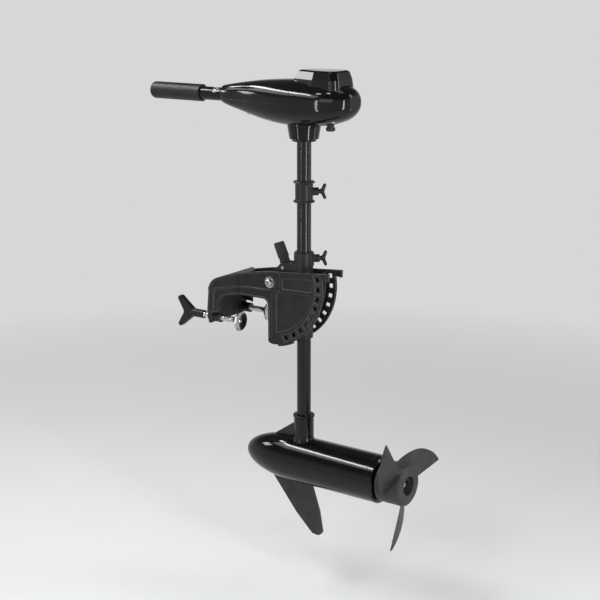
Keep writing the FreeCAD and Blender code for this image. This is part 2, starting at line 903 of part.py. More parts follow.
def clamp(side, word):
    """Pad, screw and winged knob of one clamp, about the screw's own axis."""
    across = side * S.clamp_spread / 2
    face = S.clamp_pad_face
    back = face - S.clamp_pad_thickness
    hub_back = back - S.clamp_pad_hub_length
    ball = S.clamp_ball_radius
    socket = ball + S.running_clearance
    centre = hub_back + S.clamp_ball_depth
    mouth = root(socket * socket - (hub_back - centre) * (hub_back - centre))
    outer = S.clamp_pad_diameter / 2
    turned_piece(
        f"clamp_pad_{word}", "X",
        [
            (face, 0), (face - 1.5, outer), (back + 0.5, outer), (back, outer - 2),
            (back, S.clamp_pad_hub_radius), (hub_back, S.clamp_pad_hub_radius - 2),
            (hub_back, mouth, -socket), (centre + socket, 0),
        ],
        y=across,
    )
    rod = S.clamp_rod_diameter / 2
    neck = ball * 0.62
    shoulder = hub_back - 3
    meet = root(ball * ball - neck * neck)
    front = S.clamp_knob_front + 2
    turned_piece(
        f"clamp_screw_{word}", "X",
        [
            (front, 0), (centre + ball, 0, ball), (centre - meet, neck), (shoulder, neck),
            (shoulder - 2, rod), (front, rod),
        ],
        y=across,
    )
    hub = S.clamp_knob_hub_diameter / 2
    body = new_body(f"knob_hub_{word}")
    knob_front, knob_back = S.clamp_knob_front, S.clamp_knob_back
    turn(
        body, "X",
        [(knob_front, 0), (front, 0), (front, rod), (knob_back, rod), (knob_back, hub),
         (knob_front, hub)],
    )
    plate = wing_plate(
        f"knob_wings_{word}", knob_front, -1, hub - 1,
        (S.clamp_wing_reach, S.clamp_wing_span / 2, S.clamp_wing_tip, S.clamp_wing_valley,
         S.clamp_valley_half, S.clamp_wing_thickness, S.clamp_wing_edge),
    )
    core = new_body(f"knob_bore_{word}")
    turn(core, "X", [(front, 0), (knob_back, 0), (knob_back, rod), (front, rod)])
    knob = cut(f"knob_{word}", join(f"knob_solid_{word}", body, plate), core)
    keep(place(knob, 0, across, 0), f"clamp_knob_{word}")


# ---------------------------------------------------------------- carrier and tilt lock
def carrier():
    """Casting that swings between the side plates and carries the steering sleeve."""
    bottom = S.carrier_bottom - S.pivot_height
    step = S.collar_bottom - S.pivot_height
    top = S.collar_top - S.pivot_height
    sleeve = new_body("sleeve")
    slim, wide = S.carrier_sleeve_radius, S.collar_radius
    turn(sleeve, "Z", [(bottom, 0), (top, 0), (top, wide), (step, wide), (step, slim), (bottom, slim)])
    place(sleeve, shaft_out, 0, 0)
    barrel = new_body("barrel")
    reach = half_gap - S.side_clearance
    pad(barrel, "XZ_Plane", [(0, 0, S.barrel_radius)], -reach, reach)
    bar_x, bar_z = around(S.notch_circle, S.first_notch)
    low = bar_z - S.lock_bar_diameter
    pin_x, pin_z = S.lever_pin_out, S.lever_pin_up
    ear = S.lever_hub_radius + 2
    outline = [
        (-S.barrel_radius * 0.9, S.barrel_radius * 0.4),
        (-S.barrel_radius * 0.3, -S.barrel_radius * 0.95),
        (bar_x - 18, -45),
        (bar_x - 12, low), (bar_x + 10, low), (shaft_out - 8, bottom + 6), (shaft_out - 8, step),
        (shaft_out - S.collar_radius + 2, step + 6), (pin_x + 4, pin_z + ear), (pin_x - 4, pin_z + ear),
    ]
    near = S.cheek_gap / 2
    cheeks = []
    for low_y, high_y in ((-near - S.cheek_thickness, -near), (near, near + S.cheek_thickness)):
        cheek = new_body("cheek")
        pad(cheek, "XZ_Plane", [outline], low_y, high_y)
        cheeks.append(cheek)
    boss = new_body("tension_boss")
    reach = S.collar_radius + S.screw_boss_reach
    pad(boss, "YZ_Plane", [(0, 0, S.screw_boss_radius)], 0, reach)
    place(boss, shaft_out, 0, S.tension_height - S.pivot_height, S.knob_azimuth)
    bore = new_body("carrier_bore")
    pad(bore, "XY_Plane", [(shaft_out, 0, sleeve_bore)], bottom - 1, top + 1)
    slot = new_body("lock_slot")
    half = S.lock_bar_diameter / 2 + S.free_clearance
    corners = []
    for along, side in ((-1, -1), (1, -1), (1, 1), (-1, 1)):
        out = (lock_rest if along < 0 else S.notch_circle) + along * half
        corners.append(
            (
                cosine(S.first_notch) * out - sine(S.first_notch) * half * side,
                sine(S.first_notch) * out + cosine(S.first_notch) * half * side,
            )
        )
    pin = S.lever_pin_diameter / 2
    pivot_bore = S.pivot_bolt_diameter / 2 + S.running_clearance
    pad(
        slot, "XZ_Plane",
        [corners, (pin_x, pin_z, pin), (0, 0, pivot_bore)], -half_gap, half_gap,
    )
    stepped = shoe_bore("carrier_shoe_bore", sleeve_bore - 1, S.collar_radius, reach)
    place(stepped, shaft_out, 0, S.tension_height - S.pivot_height, S.knob_azimuth)
    solid = join("carrier_solid", sleeve, barrel, *cheeks, boss)
    casting = cut("carrier", solid, join("carrier_cuts", bore, slot, stepped))
    keep(place(casting, S.pivot_aft, 0, S.pivot_height), "tilt_carrier")


def shoe_bore(name, start, outer, reach):
    """Stepped hole for a pressure shoe and the screw behind it, along +X."""
    shoe = S.shoe_diameter / 2 + S.free_clearance
    screw = S.screw_diameter / 2 + S.running_clearance
    step = outer + S.shoe_travel + 1
    body = new_body(name)
    turn(
        body, "X",
        [(start, 0), (reach + 1, 0), (reach + 1, screw), (step, screw), (step, shoe), (start, shoe)],
    )
    return body


def wing_screw(word, seat, outer, height):
    """Pressure shoe and winged screw that press on the round face of radius seat."""
    start = seat + S.free_clearance
    stem_start = start + S.shoe_length
    reach = outer + S.screw_boss_reach
    shoe = S.shoe_diameter / 2
    body = new_body(f"{word}_shoe")
    turn(body, "X", [(start, 0), (stem_start, 0), (stem_start, shoe), (start, shoe)])
    keep(place(body, S.shaft_offset, 0, height, S.knob_azimuth), f"{word}_shoe")
    stem = S.screw_diameter / 2
    hub = S.wing_hub_diameter / 2
    hub_start = reach + S.free_clearance
    hub_end = hub_start + S.wing_hub_length
    begin = stem_start + S.free_clearance / 3
    core = new_body(f"{word}_screw")
    turn(
        core, "X",
        [(begin, 0), (hub_end, 0), (hub_end, hub), (hub_start, hub), (hub_start, stem), (begin, stem)],
    )
    plate = wing_plate(
        f"{word}_wings", hub_end, 1, hub - 1,
        (S.wing_reach, S.wing_span / 2, S.wing_tip, S.wing_valley, S.wing_valley_half,
         S.wing_thickness, S.wing_edge),
    )
    knob = join(f"{word}_knob_solid", core, plate)
    keep(place(knob, S.shaft_offset, 0, height, S.knob_azimuth), f"{word}_knob")


def tilt_lock():
    pin_x, pin_z = S.lever_pin_out, S.lever_pin_up
    pin = S.lever_pin_diameter / 2
    near = S.cheek_gap / 2 + S.cheek_thickness
    rod = new_body("lever_pin_body")
    turn(rod, "Y", [(-near, 0), (near, 0), (near, pin), (-near, pin)])
    keep(place(rod, S.pivot_aft + pin_x, 0, S.pivot_height + pin_z), "lever_pin")

    # lever, about its pin: paddle up and forward, arm aft
    stem = new_body("lever_stem")
    half = S.lever_thickness / 2
    hub = S.lever_hub_radius
    up = (-sine(S.lever_lean), cosine(S.lever_lean))
    across = (cosine(S.lever_lean), sine(S.lever_lean))

    def paddle(distance, offset):
        return up[0] * distance + across[0] * offset, up[1] * distance + across[1] * offset

    arm_x = cosine(S.lever_arm_angle) * S.lever_arm
    arm_z = sine(S.lever_arm_angle) * S.lever_arm
    nub = S.lock_pin_diameter / 2 + 1.5
    split = S.lever_reach * 0.38
    bore = (0, 0, pin + S.running_clearance)
    waist = S.lever_stem_width / 2
    pad(
        stem, "XZ_Plane",
        [[paddle(split + 2, -half), paddle(0, -hub), (0, -hub, hub), (hub, 0),
          (arm_x + nub, arm_z - nub), (arm_x + nub, arm_z + nub), paddle(hub, half),
          paddle(split + 2, half)]],
        -waist, waist,
    )
    blade = new_body("lever_paddle")
    width = S.lever_width / 2
    reach = S.lever_reach
    pad(
        blade, "XZ_Plane",
        [[paddle(split, -half), paddle(split, half), paddle(reach - 2, half * 0.8),
          paddle(reach, 0), paddle(reach - 2, -half * 0.8)]],
        -width, width,
    )
    slot_half = S.lock_link_thickness / 2 + S.side_clearance
    relief = block("lever_slot", (pin + 3, -slot_half, -20), (arm_x + 20, slot_half, 20))
    eye = new_body("lever_eye")
    pad(eye, "XZ_Plane", [bore], -waist - 1, waist + 1)
    cross = new_body("lever_cross_pin")
    pad(cross, "XZ_Plane", [(arm_x, arm_z, S.lock_pin_diameter / 2)], -waist, waist)
    solid = cut("lever_body", join("lever_solid", stem, blade), join("lever_cuts", relief, eye))
    lever = join("lever_whole", solid, cross)
    keep(place(lever, S.pivot_aft + pin_x, 0, S.pivot_height + pin_z), "tilt_lever")

    # lock bar and its link, about the pivot
    bar_x, bar_z = around(lock_rest, S.first_notch)
    bar = new_body("lock_bar_body")
    end = half_gap + S.lock_groove_depth - S.free_clearance
    radius = S.lock_bar_diameter / 2
    turn(bar, "Y", [(-end, 0), (end, 0), (end, radius), (-end, radius)])
    keep(place(bar, S.pivot_aft + bar_x, 0, S.pivot_height + bar_z), "lock_bar")
    link = new_body("lock_link_body")
    wide = S.lock_link_width / 2
    top_x, top_z = pin_x + arm_x, pin_z + arm_z
    slot = S.lock_pin_diameter / 2 + S.lock_slot_play
    eye_radius = radius + 3
    head = slot + 2.2
    pad(
        link, "XZ_Plane",
        [[(bar_x - eye_radius, bar_z - 2), (bar_x - eye_radius + 3, bar_z - eye_radius),
          (bar_x + eye_radius - 3, bar_z - eye_radius), (bar_x + eye_radius, bar_z - 2),
          (bar_x + wide, bar_z + eye_radius + 8), (top_x - 1 + wide, top_z - head - 3),
          (top_x + 4, top_z - head), (top_x + 4, top_z + head), (top_x - 7.2, top_z + head),
          (top_x - 7.2, top_z - head), (top_x - 1 - wide, top_z - head - 6),
          (bar_x - wide, bar_z + eye_radius + 8)],
         (bar_x, bar_z, radius)],
        -S.lock_link_thickness / 2, S.lock_link_thickness / 2,
    )
    pocket(
        link, "XZ_Plane",
        [[(top_x - 5.8, top_z - slot), (top_x + 2.4, top_z - slot), (top_x + 2.4, top_z + slot),
          (top_x - 5.8, top_z + slot)]],
        -S.lock_link_thickness / 2, S.lock_link_thickness / 2,
    )
    keep(place(link, S.pivot_aft, 0, S.pivot_height), "lock_link")


# ---------------------------------------------------------------- shaft, liner and depth collar
def shaft_group():
    outer, flange = liner_radius, S.collar_radius - 2
    top = S.collar_top + S.free_clearance
    turned_piece(
        "shaft_liner", "Z",
        [(S.carrier_bottom, liner_bore), (top + S.liner_flange, liner_bore),
         (top + S.liner_flange, flange), (top, flange), (top, outer), (S.carrier_bottom, outer)],
        x=S.shaft_offset,
    )
    bore = shaft_radius - S.shaft_wall
    bottom = S.socket_floor - S.motor_depth
    top = S.handle_height - S.shaft_inset
    turned_piece(
        "shaft_tube", "Z",
        [(bottom, bore), (top, bore), (top, shaft_radius), (bottom, shaft_radius)],
        x=S.shaft_offset,
    )
    low, high = S.depth_collar_bottom, S.depth_collar_top
    middle = (low + high) / 2
    wall = liner_bore + S.depth_collar_wall
    rim = wall + S.depth_collar_rim
    lip = S.depth_collar_rim_height
    ring = new_body("depth_ring")
    turn(
        ring, "Z",
        [(low, liner_bore), (high, liner_bore), (high, rim - 1.5), (high - lip * 0.5, rim),
         (high - lip, wall), (low + lip, wall), (low + lip * 0.5, rim), (low, rim - 1.5)],
    )
    place(ring, 0, 0, -middle)
    boss = new_body("depth_boss")
    reach = wall + S.screw_boss_reach
    pad(boss, "YZ_Plane", [(0, 0, S.screw_boss_radius)], liner_bore + 1, reach)
    bore = shoe_bore("depth_shoe_bore", liner_bore - 2, wall, reach)
    collar = cut("depth_collar_solid", join("depth_collar_sum", ring, boss), bore)
    keep(place(collar, S.shaft_offset, 0, middle, S.knob_azimuth), "depth_collar")
    wing_screw("collar", shaft_radius, wall, middle)
    wing_screw("tension", liner_radius, S.collar_radius, S.tension_height)


# ---------------------------------------------------------------- head
HEAD_SECTIONS = (
    # share of the reach fore (-) or aft (+), half height, half width, centre height
    (-1.0, 0.0, 0.0, 1.0),
    (-0.78, 9.5, 9.5, -1.0),
    (-0.52, 19.0, 21.5, -3.5),
    (-0.20, 26.0, 33.5, -5.5),
    (0.25, 26.5, 36.0, -5.0),
    (0.68, 20.0, 30.0, -3.0),
    (0.93, 7.0, 14.0, -1.0),
    (1.0, -4.0, 0.0, 0.0),
)


def oval(x, half_height, half_width, centre, sides, smooth):
    """A closed oval across the head at x, fuller at its shoulders than an ellipse."""
    points = []
    for step in range(sides):
        angle = math.tau * step / sides
        c, s = math.cos(angle), math.sin(angle)
        power = 0.88
        y = half_width * math.copysign(abs(c) ** power, c)
        z = half_height * math.copysign(abs(s) ** power, s)
        points.append(Vector(x, y, centre + z))
    if not smooth:
        return Part.makePolygon(points + points[:1])
    curve = Part.BSplineCurve()
    curve.interpolate(points, PeriodicFlag=True)
    return Part.Wire([curve.toShape()])


def head_form(inset, sides, smooth):
    """The teardrop of the head, smaller all round by inset, smooth or with flat sides."""
    wires = []
    base = S.nose_radius.value
    for share, height, width, centre in HEAD_SECTIONS:
        reach = S.nose_reach.value if share < 0 else S.tail_reach.value
        limit = reach - inset
        x = max(-limit, min(limit, share * reach))
        wires.append(oval(x, base + height - inset, base + width - inset, centre, sides, smooth))
    return Part.makeLoft(wires, True, not smooth)


def hump_form(inset):
    """Raised rear block of the head, drawn in towards its top."""
    front, back = S.hump_front.value + inset, S.hump_back.value - inset
    base, top = S.hump_base.value, S.hump_height.value - inset
    half = S.hump_width.value / 2 - inset
    levels = ((base, 0, 8, 5), (base + 0.6 * (top - base), 10, 5, 3), (top - 3, 18, 1, 0), (top, 24, -3, -4))
    wires = [
        wedge(front + fore, back + aft, half + wide, S.hump_corner.value - inset, z)
        for z, fore, aft, wide in levels
    ]
    return Part.makeLoft(wires, True, True)


def wedge(front, back, half, corner, z):
    """A plan outline that widens aft, with rounded rear corners."""
    nose = half * 0.5
    waist = front + (back - front) * 0.5
    diagonal = corner * (1 - math.sqrt(0.5))
    points = [
        Vector(front, nose, z), Vector(front, -nose, z), Vector(waist, -half, z),
        Vector(back - corner, -half, z), Vector(back, -half + corner, z),
        Vector(back, half - corner, z), Vector(back - corner, half, z), Vector(waist, half, z),
    ]
    edges = [Part.makeLine(points[n], points[n + 1]) for n in (0, 1, 2)]
    middle = Vector(back - diagonal, -half + diagonal, z)
    edges.append(Part.Arc(points[3], middle, points[4]).toShape())
    edges.append(Part.makeLine(points[4], points[5]))
    middle = Vector(back - diagonal, half - diagonal, z)
    edges.append(Part.Arc(points[5], middle, points[6]).toShape())
    edges += [Part.makeLine(points[6], points[7]), Part.makeLine(points[7], points[0])]
    return Part.Wire(edges)


def slab(low, high):
    """Everything in the head between two heights."""
    reach = 2 * S.nose_reach.value
    return Part.makeBox(2 * reach, 2 * reach, high - low, Vector(-reach, -reach, low))


def cylinder(radius, x, y, low, high):
    return Part.makeCylinder(radius, high - low, Vector(x, y, low))


def solid_feature(label, shape, x=0, y=0, z=0):
    feature = document.addObject("Part::Feature", label)
    feature.Shape = shape
    place(feature, x, y, z)
    return keep(feature, label)


def head():
    centre = S.handle_height
    wall, seam, far = S.head_wall.value, S.head_seam.value, S.nose_reach.value
    outside, inside = head_form(0, 24, True), head_form(wall, 16, False)
    hump, hollow = hump_form(0), hump_form(wall)
    shell = outside.cut(inside)
    spigot_top = (neck_bottom + S.neck_height + S.neck_spigot - centre).value
    nose_hole = Part.makeCylinder(
        (S.handle_diameter / 2 + S.bush_wall).value, S.nose_hole_depth.value,
        Vector(-S.nose_reach.value - 1, 0, 0), Vector(1, 0, 0),
    )
    neck_hole = cylinder(S.neck_top_radius.value, 0, 0, -BEYOND, spigot_top)
    half = S.switch_size.value / 2
    post = Part.makeBox(
        S.switch_length.value, half, BEYOND, Vector(S.switch_front.value, -half / 2, -BEYOND - half)
    ).common(inside)
    gland_hole = cylinder(S.gland_radius.value, S.gland_out.value, 0, -BEYOND, 0)
    lower = shell.common(slab(-far, seam)).fuse(post)
    lower = lower.cut(neck_hole).cut(nose_hole).cut(gland_hole)
    upper = shell.common(slab(seam, far)).cut(hump).cut(nose_hole)
    cover = hump.cut(hollow).cut(inside).common(slab(seam, far))
    place_at = dict(x=S.shaft_offset, z=centre)
    solid_feature("head_lower_housing", lower, **place_at)
    solid_feature("head_upper_cover", upper, **place_at)
    solid_feature("head_top_cap", cover, **place_at)

    # speed switch behind the handle, turned by the handle's spindle
    half = S.switch_size / 2
    front = S.switch_front
    switch = new_body("switch_body")
    pad(switch, "YZ_Plane", [[(-half, -half), (half, -half), (half, half), (-half, half)]],
        front, front + S.switch_length)
    keep(place(switch, **place_at), "speed_switch")
    low, rim = S.gland_bottom, S.gland_radius + 2
    turned_piece(
        "cable_gland", "Z",
        [(low, S.gland_bore), (low + S.gland_length, S.gland_bore),
         (low + S.gland_length, S.gland_radius), (low + S.gland_drop, S.gland_radius),
         (low + S.gland_drop, rim), (low + 2, rim), (low, rim - 2)],
        x=S.shaft_offset + S.gland_out, z=centre,
    )
    low = neck_bottom
    step = low + S.neck_height
    top = step + S.neck_spigot
    corner = S.neck_corner
    turned_piece(
        "head_neck", "Z",
        [(low, shaft_radius), (top, shaft_radius), (top, S.neck_top_radius),
         (step, S.neck_top_radius), (low + corner, S.neck_foot_radius + 1, -corner),
         (low, S.neck_foot_radius + 1 - corner)],
        x=S.shaft_offset,
    )


# ---------------------------------------------------------------- handle
def handle():
    outer = S.handle_diameter / 2
    bore = outer - S.handle_wall
    far, near = -S.handle_outer_reach, -S.handle_inner_reach
    turned_piece(
        "handle_tube", "X",
        [(far, bore), (near, bore), (near, outer), (far, outer)],
        x=S.shaft_offset, z=S.handle_height,
    )
    step = near - S.spindle_plug
    tip = S.switch_front - S.free_clearance
    turned_piece(
        "switch_spindle", "X",
        [(step, 0), (tip, 0), (tip, S.spindle_radius), (near, S.spindle_radius), (near, bore),
         (step, bore)],
        x=S.shaft_offset, z=S.handle_height,
    )
    grip, end = S.grip_diameter / 2, -S.grip_front
    back = -S.grip_back
    inside = outer + S.running_clearance
    soft = S.grip_round
    floor = far - S.free_clearance
    turned_piece(
        "handle_grip", "X",
        [(end, 0), (floor, 0), (floor, inside), (back, inside), (back, grip - 1), (back - 1, grip),
         (end + soft, grip, soft), (end, grip - soft)],
        x=S.shaft_offset, z=S.handle_height,
    )
    ring = outer + S.running_clearance
    start = -S.nose_reach + 1
    turned_piece(
        "handle_bush", "X",
        [(start, ring), (start + S.bush_length, ring), (start + S.bush_length, outer + S.bush_wall),
         (start, outer + S.bush_wall)],
        x=S.shaft_offset, z=S.handle_height,
    )


# ---------------------------------------------------------------- lower unit
def ellipsoid(name, centre, length, radius):
    """The front half of an ellipsoid of revolution about X."""
    solid = document.addObject("Part::Ellipsoid", name)
    solid.setExpression("Radius1", as_size(length).formula)
    solid.setExpression("Radius2", as_size(radius).formula)
    solid.setExpression("Radius3", as_size(radius).formula)
    solid.Placement = Placement(Vector(), Rotation(Vector(0, 1, 0), 90))
    solid.setExpression("Placement.Base.x", as_size(centre).formula)
    return solid


def rod(name, axis, low, high, radius, x=0, y=0, z=0):
    body = new_body(name)
    turn(body, axis, [(low, 0), (high, 0), (high, radius), (low, radius)])
    return place(body, x, y, z)


def nose_solid(name, inset):
    """Outer or inner form of the nose: a half ellipsoid run into a cylinder."""
    centre = -S.nose_tip + S.nose_length
    tip = ellipsoid(f"{name}_tip", centre, S.nose_length - inset, S.motor_radius - inset)
    barrel = rod(f"{name}_barrel", "X", centre, S.nose_seam, S.motor_radius - inset)
    rear = rod(f"{name}_rear", "X", S.nose_seam, S.nose_seam + S.nose_length * 2, S.motor_radius * 2)
    return cut(name, join(f"{name}_sum", tip, barrel), rear)


def spigot_outline(tip, root, back, outer):
    """Profile of a spigot that carries a ring seal half way along, from its tip to its root."""
    inner = outer - S.spigot_wall
    middle = (tip + root) / 2
    half = S.ring_groove / 2 if tip.value < root.value else -(S.ring_groove / 2)
    floor = outer - S.ring_groove
    return [
        (tip, inner), (tip, outer), (middle - half, outer), (middle - half, floor),
        (middle + half, floor), (middle + half, outer), (back, outer), (back, inner),
    ]


def bolt_bores(name, low, high, radius):
    """Two holes for the long bolts, above and below the motor's axis."""
    body = new_body(name)
    places = [(0, side * S.bolt_circle, radius) for side in (-1, 1)]
    pad(body, "YZ_Plane", places, low, high)
    return body


def drive_pin_place():
    return S.bell_back + S.hub_gap + S.drive_pin_depth


# share of the skeg's length aft of the shaft, share of its depth below the motor's axis
SKEG_CORNERS = (
    (-0.657, 0.19), (-0.121, 0.756), (0.164, 0.991), (0.25, 1.0), (0.343, 0.931), (0.289, 0.666),
    (0.143, 0.29), (0.143, 0.13),
)
SKEG_TIP = 3
# share of the fin's length aft of the shaft, share of its height above the motor's axis
FIN_CORNERS = ((-1.0, 0.38), (-0.972, 0.582), (-0.306, 1.0), (-0.139, 1.0), (-0.139, 0.38))


def lower_unit():
    at = dict(x=S.shaft_offset, z=-S.motor_depth)
    radius, inner = S.motor_radius, S.motor_radius - S.motor_wall
    seam, bell = S.nose_seam, S.bell_seam
    spigot = inner - S.seat_gap

    # nose casting with the shaft socket
    outside = nose_solid("nose_outside", as_size(0))
    inside = nose_solid("nose_inside", S.nose_wall)
    lip = new_body("nose_lip")
    turn(lip, "X", spigot_outline(seam + S.spigot_length, seam, seam - 2, spigot))
    socket = new_body("socket")
    tall, rim = S.socket_top, S.socket_rim
    turn(
        socket, "Z",
        [(20, 0), (tall, 0), (tall, S.socket_radius + rim - 1),
         (tall - 1, S.socket_radius + rim), (tall - S.socket_rim_height, S.socket_radius + rim),
         (tall - S.socket_rim_height - 1, S.socket_radius), (radius + 4, S.socket_radius),
         (radius - 4, S.socket_radius + S.socket_flare), (20, S.socket_radius + S.socket_flare)],
    )
    shaft_hole = rod("socket_bore", "Z", S.socket_floor, tall + 1, shaft_radius)
    wire_hole = rod("wire_bore", "Z", 0, tall, S.wire_bore)
    web_front = S.front_bearing - S.bearing_web
    web_back = S.front_bearing + S.bearing_width
    web = rod("bearing_web", "X", web_front, web_back, radius - S.nose_wall + 0.5)
    bearing_hole = rod("bearing_hole", "X", S.front_bearing, seam, S.bearing_radius)
    thread = S.bolt_diameter / 2
    bolt_start = web_front + 2
    bolt_holes = bolt_bores("nose_bolt_holes", bolt_start, seam, thread)
    shell = cut("nose_shell", join("nose_full", outside, socket), inside)
    casting = join("nose_casting", shell, web, lip)
    holes = join("nose_holes", shaft_hole, wire_hole, bearing_hole, bolt_holes)
    casting = cut("nose_cone_solid", casting, holes)
    keep(place(casting, **at), "nose_cone")

    # skeg and fin seat on the casting's outer face
    skeg_body = new_body("skeg_plate")
    half = S.skeg_thickness / 2
    corners = [[S.skeg_length * along, S.skeg_depth * -down] for along, down in SKEG_CORNERS]
    corners[SKEG_TIP].append(S.skeg_tip_round)
    pad(skeg_body, "XZ_Plane", [corners], -half, half)
    seat = nose_solid("skeg_seat", as_size(0))
    skeg_solid = cut("skeg_solid", skeg_body, seat)
    keep(place(skeg_solid, **at), "skeg")
    fin_body = new_body("fin_plate")
    half = S.fin_thickness / 2
    corners = [(S.fin_length * along, S.fin_height * up) for along, up in FIN_CORNERS]
    pad(fin_body, "XZ_Plane", [corners], -half, half)
    seat = join("fin_seat", nose_solid("fin_seat_nose", as_size(0)),
                rod("fin_seat_socket", "Z", 20, S.socket_top, S.socket_radius),
                )
    fin_seat_cone = new_body("fin_seat_cone")
    turn(fin_seat_cone, "Z", [(20, 0), (radius + 4, 0), (radius + 4, S.socket_radius),
                              (radius - 4, S.socket_radius + S.socket_flare),
                              (20, S.socket_radius + S.socket_flare)])
    seat = join("fin_seat_all", seat, fin_seat_cone)
    keep(place(cut("fin_solid", fin_body, seat), **at), "socket_fin")

    turned_piece("motor_tube", "X", [(seam, inner), (bell, inner), (bell, radius), (seam, radius)], **at)

    # end bell with bearing and seal pockets
    back, front = S.bell_back, bell - S.spigot_length
    shaft = S.armature_radius
    floor = back - S.seal_width
    shoulder = floor - 2
    pocket_front = shoulder - S.bearing_width
    bell_body = new_body("bell_body")
    hollow = spigot - S.spigot_wall
    turn(
        bell_body, "X",
        spigot_outline(front, bell, bell, spigot)[:-1]
        + [(bell, radius), (back - 3, radius), (back, radius - 3), (back, S.seal_radius),
           (floor, S.seal_radius), (floor, shaft + 2), (shoulder, shaft + 2),
           (shoulder, S.bearing_radius), (pocket_front, S.bearing_radius),
           (pocket_front, S.bearing_radius + 4), (shoulder - 3, S.bearing_radius + 6),
           (shoulder - 3, hollow)],
    )
    shank = bolt_bores("bell_bolt_holes", front, back, thread + S.running_clearance)
    head_space = bolt_bores(
        "bell_counterbores", back - S.bolt_head_height, back,
        S.bolt_head_diameter / 2 + S.running_clearance,
    )
    drilled = cut("bell_drilled", bell_body, join("bell_holes", shank, head_space))
    keep(place(drilled, **at), "rear_end_bell")
    rings = []
    half_ring = S.ring_groove / 2
    for middle in (seam + S.spigot_length / 2, bell - S.spigot_length / 2):
        ring = new_body("ring_seal")
        turn(ring, "X", [(-half_ring, spigot - S.ring_groove), (half_ring, spigot - S.ring_groove),
                         (half_ring, spigot), (-half_ring, spigot)])
        rings.append(place(ring, middle, 0, 0))
    keep(place(group("ring_pair", rings), **at), "ring_seals")
    turned_piece(
        "shaft_seal", "X",
        [(floor, shaft + S.running_clearance), (back, shaft + S.running_clearance),
         (back, S.seal_radius), (floor, S.seal_radius)],
        **at,
    )
    bearings = []
    for start in (S.front_bearing, pocket_front):
        ring = new_body("bearing")
        start = as_size(start)
        end = start + S.bearing_width
        bore = shaft + S.running_clearance
        turn(ring, "X", [(start, bore), (end, bore), (end, S.bearing_radius), (start, S.bearing_radius)])
        bearings.append(place(ring, **at))
    keep(group("bearing_pair", bearings), "shaft_bearings")

    # armature
    tail = back + S.hub_gap + S.hub_length - S.recess_depth
    end = tail + S.prop_washer_thickness + S.prop_nut_height + 3
    spindle = new_body("armature_spindle")
    turn(spindle, "X", [(S.front_bearing, 0), (end, 0), (end, shaft - 1), (end - 1, shaft),
                        (S.front_bearing, shaft)])
    cross = rod("drive_pin_hole", "Z", -shaft * 2, shaft * 2, S.drive_pin_diameter / 2, x=drive_pin_place())
    keep(place(cut("armature_drilled", spindle, cross), **at), "armature_shaft")
    turned_piece(
        "armature_core", "X",
        [(S.core_front, shaft), (S.core_back, shaft), (S.core_back, S.core_radius),
         (S.core_front, S.core_radius)],
        **at,
    )
    ends = []
    reach, gap, bevel = S.winding_reach, S.winding_gap, S.winding_bevel
    for start, stop in ((S.core_front - reach, S.core_front), (S.core_back, S.core_back + reach)):
        coil = new_body("winding")
        turn(coil, "X", [(start, shaft + gap), (stop, shaft + gap), (stop, S.winding_radius),
                         (start + bevel, S.winding_radius), (start, S.winding_radius - bevel)])
        ends.append(place(coil, **at))
    keep(group("winding_pair", ends), "armature_windings")
    turned_piece(
        "commutator", "X",
        [(S.commutator_front, shaft), (S.commutator_back, shaft),
         (S.commutator_back, S.commutator_radius), (S.commutator_front, S.commutator_radius)],
        **at,
    )

    # magnets, brushes and their plate
    magnets = []
    for middle in (0, 180):
        outer = inner - S.seat_gap
        hollow = outer - S.magnet_thickness
        magnet = new_body("magnet")
        low, high = middle - S.magnet_half_angle, middle + S.magnet_half_angle
        corners = [
            (*around(outer, low), outer), (*around(outer, as_size(middle)), outer),
            around(outer, high), (*around(hollow, high), -hollow),
            (*around(hollow, as_size(middle)), -hollow), around(hollow, low),
        ]
        pad(magnet, "YZ_Plane", [corners], S.magnet_front, S.magnet_back)
        magnets.append(place(magnet, **at))
    keep(group("magnet_pair", magnets), "field_magnets")
    plate = new_body("brush_plate_body")
    start = S.brush_plate_front
    turn(plate, "X", [(start, S.commutator_radius + 4), (start + S.brush_plate_thickness, S.commutator_radius + 4),
                      (start + S.brush_plate_thickness, inner - S.spigot_wall - 0.5),
                      (start, inner - S.spigot_wall - 0.5)])
    plate_holes = bolt_bores("plate_bolt_holes", start, start + S.brush_plate_thickness,
                             thread + S.running_clearance)
    keep(place(cut("plate_drilled", plate, plate_holes), **at), "brush_plate")
    brushes = []
    low = S.brush_plate_front + S.brush_plate_thickness
    for side in (-1, 1):
        near = S.commutator_radius + S.free_clearance
        far = near + S.brush_height
        low_z, high_z = (near, far) if side > 0 else (-far, -near)
        brush = block("brush", (low, -S.brush_width / 2, low_z), (low + 12, S.brush_width / 2, high_z))
        brushes.append(brush)
    pair = group("brush_pair", brushes)
    keep(place(pair, **at), "motor_brushes")

    # long bolts that draw the end bell to the nose
    bolts = []
    for side in (-1, 1):
        bolt = new_body("through_bolt")
        thin, thick = S.bolt_diameter / 2, S.bolt_head_diameter / 2
        neck = back - S.bolt_head_height
        turn(bolt, "X", [(bolt_start, 0), (back, 0), (back, thick), (neck, thick), (neck, thin),
                         (bolt_start, thin)])
        bolts.append(place(bolt, S.shaft_offset, 0, -S.motor_depth + side * S.bolt_circle))
    keep(group("bolt_pair", bolts), "through_bolts")


# ---------------------------------------------------------------- propeller
# radius, and turn in degrees from the straight rear edge, of points on a blade's front edge
BLADE_FRONT = (
    (42.0, 90.0), (44.0, 70.0), (55.0, 58.0), (65.0, 49.0), (78.0, 39.0), (89.0, 31.5),
    (102.0, 22.5), (115.0, 14.0), (125.0, 7.5), (130.0, 3.5),
)
BLADE_COUNT = 3
BLADE_LEAN = 20.0  # turn in degrees from the rear edge to the direction the sections are stacked in
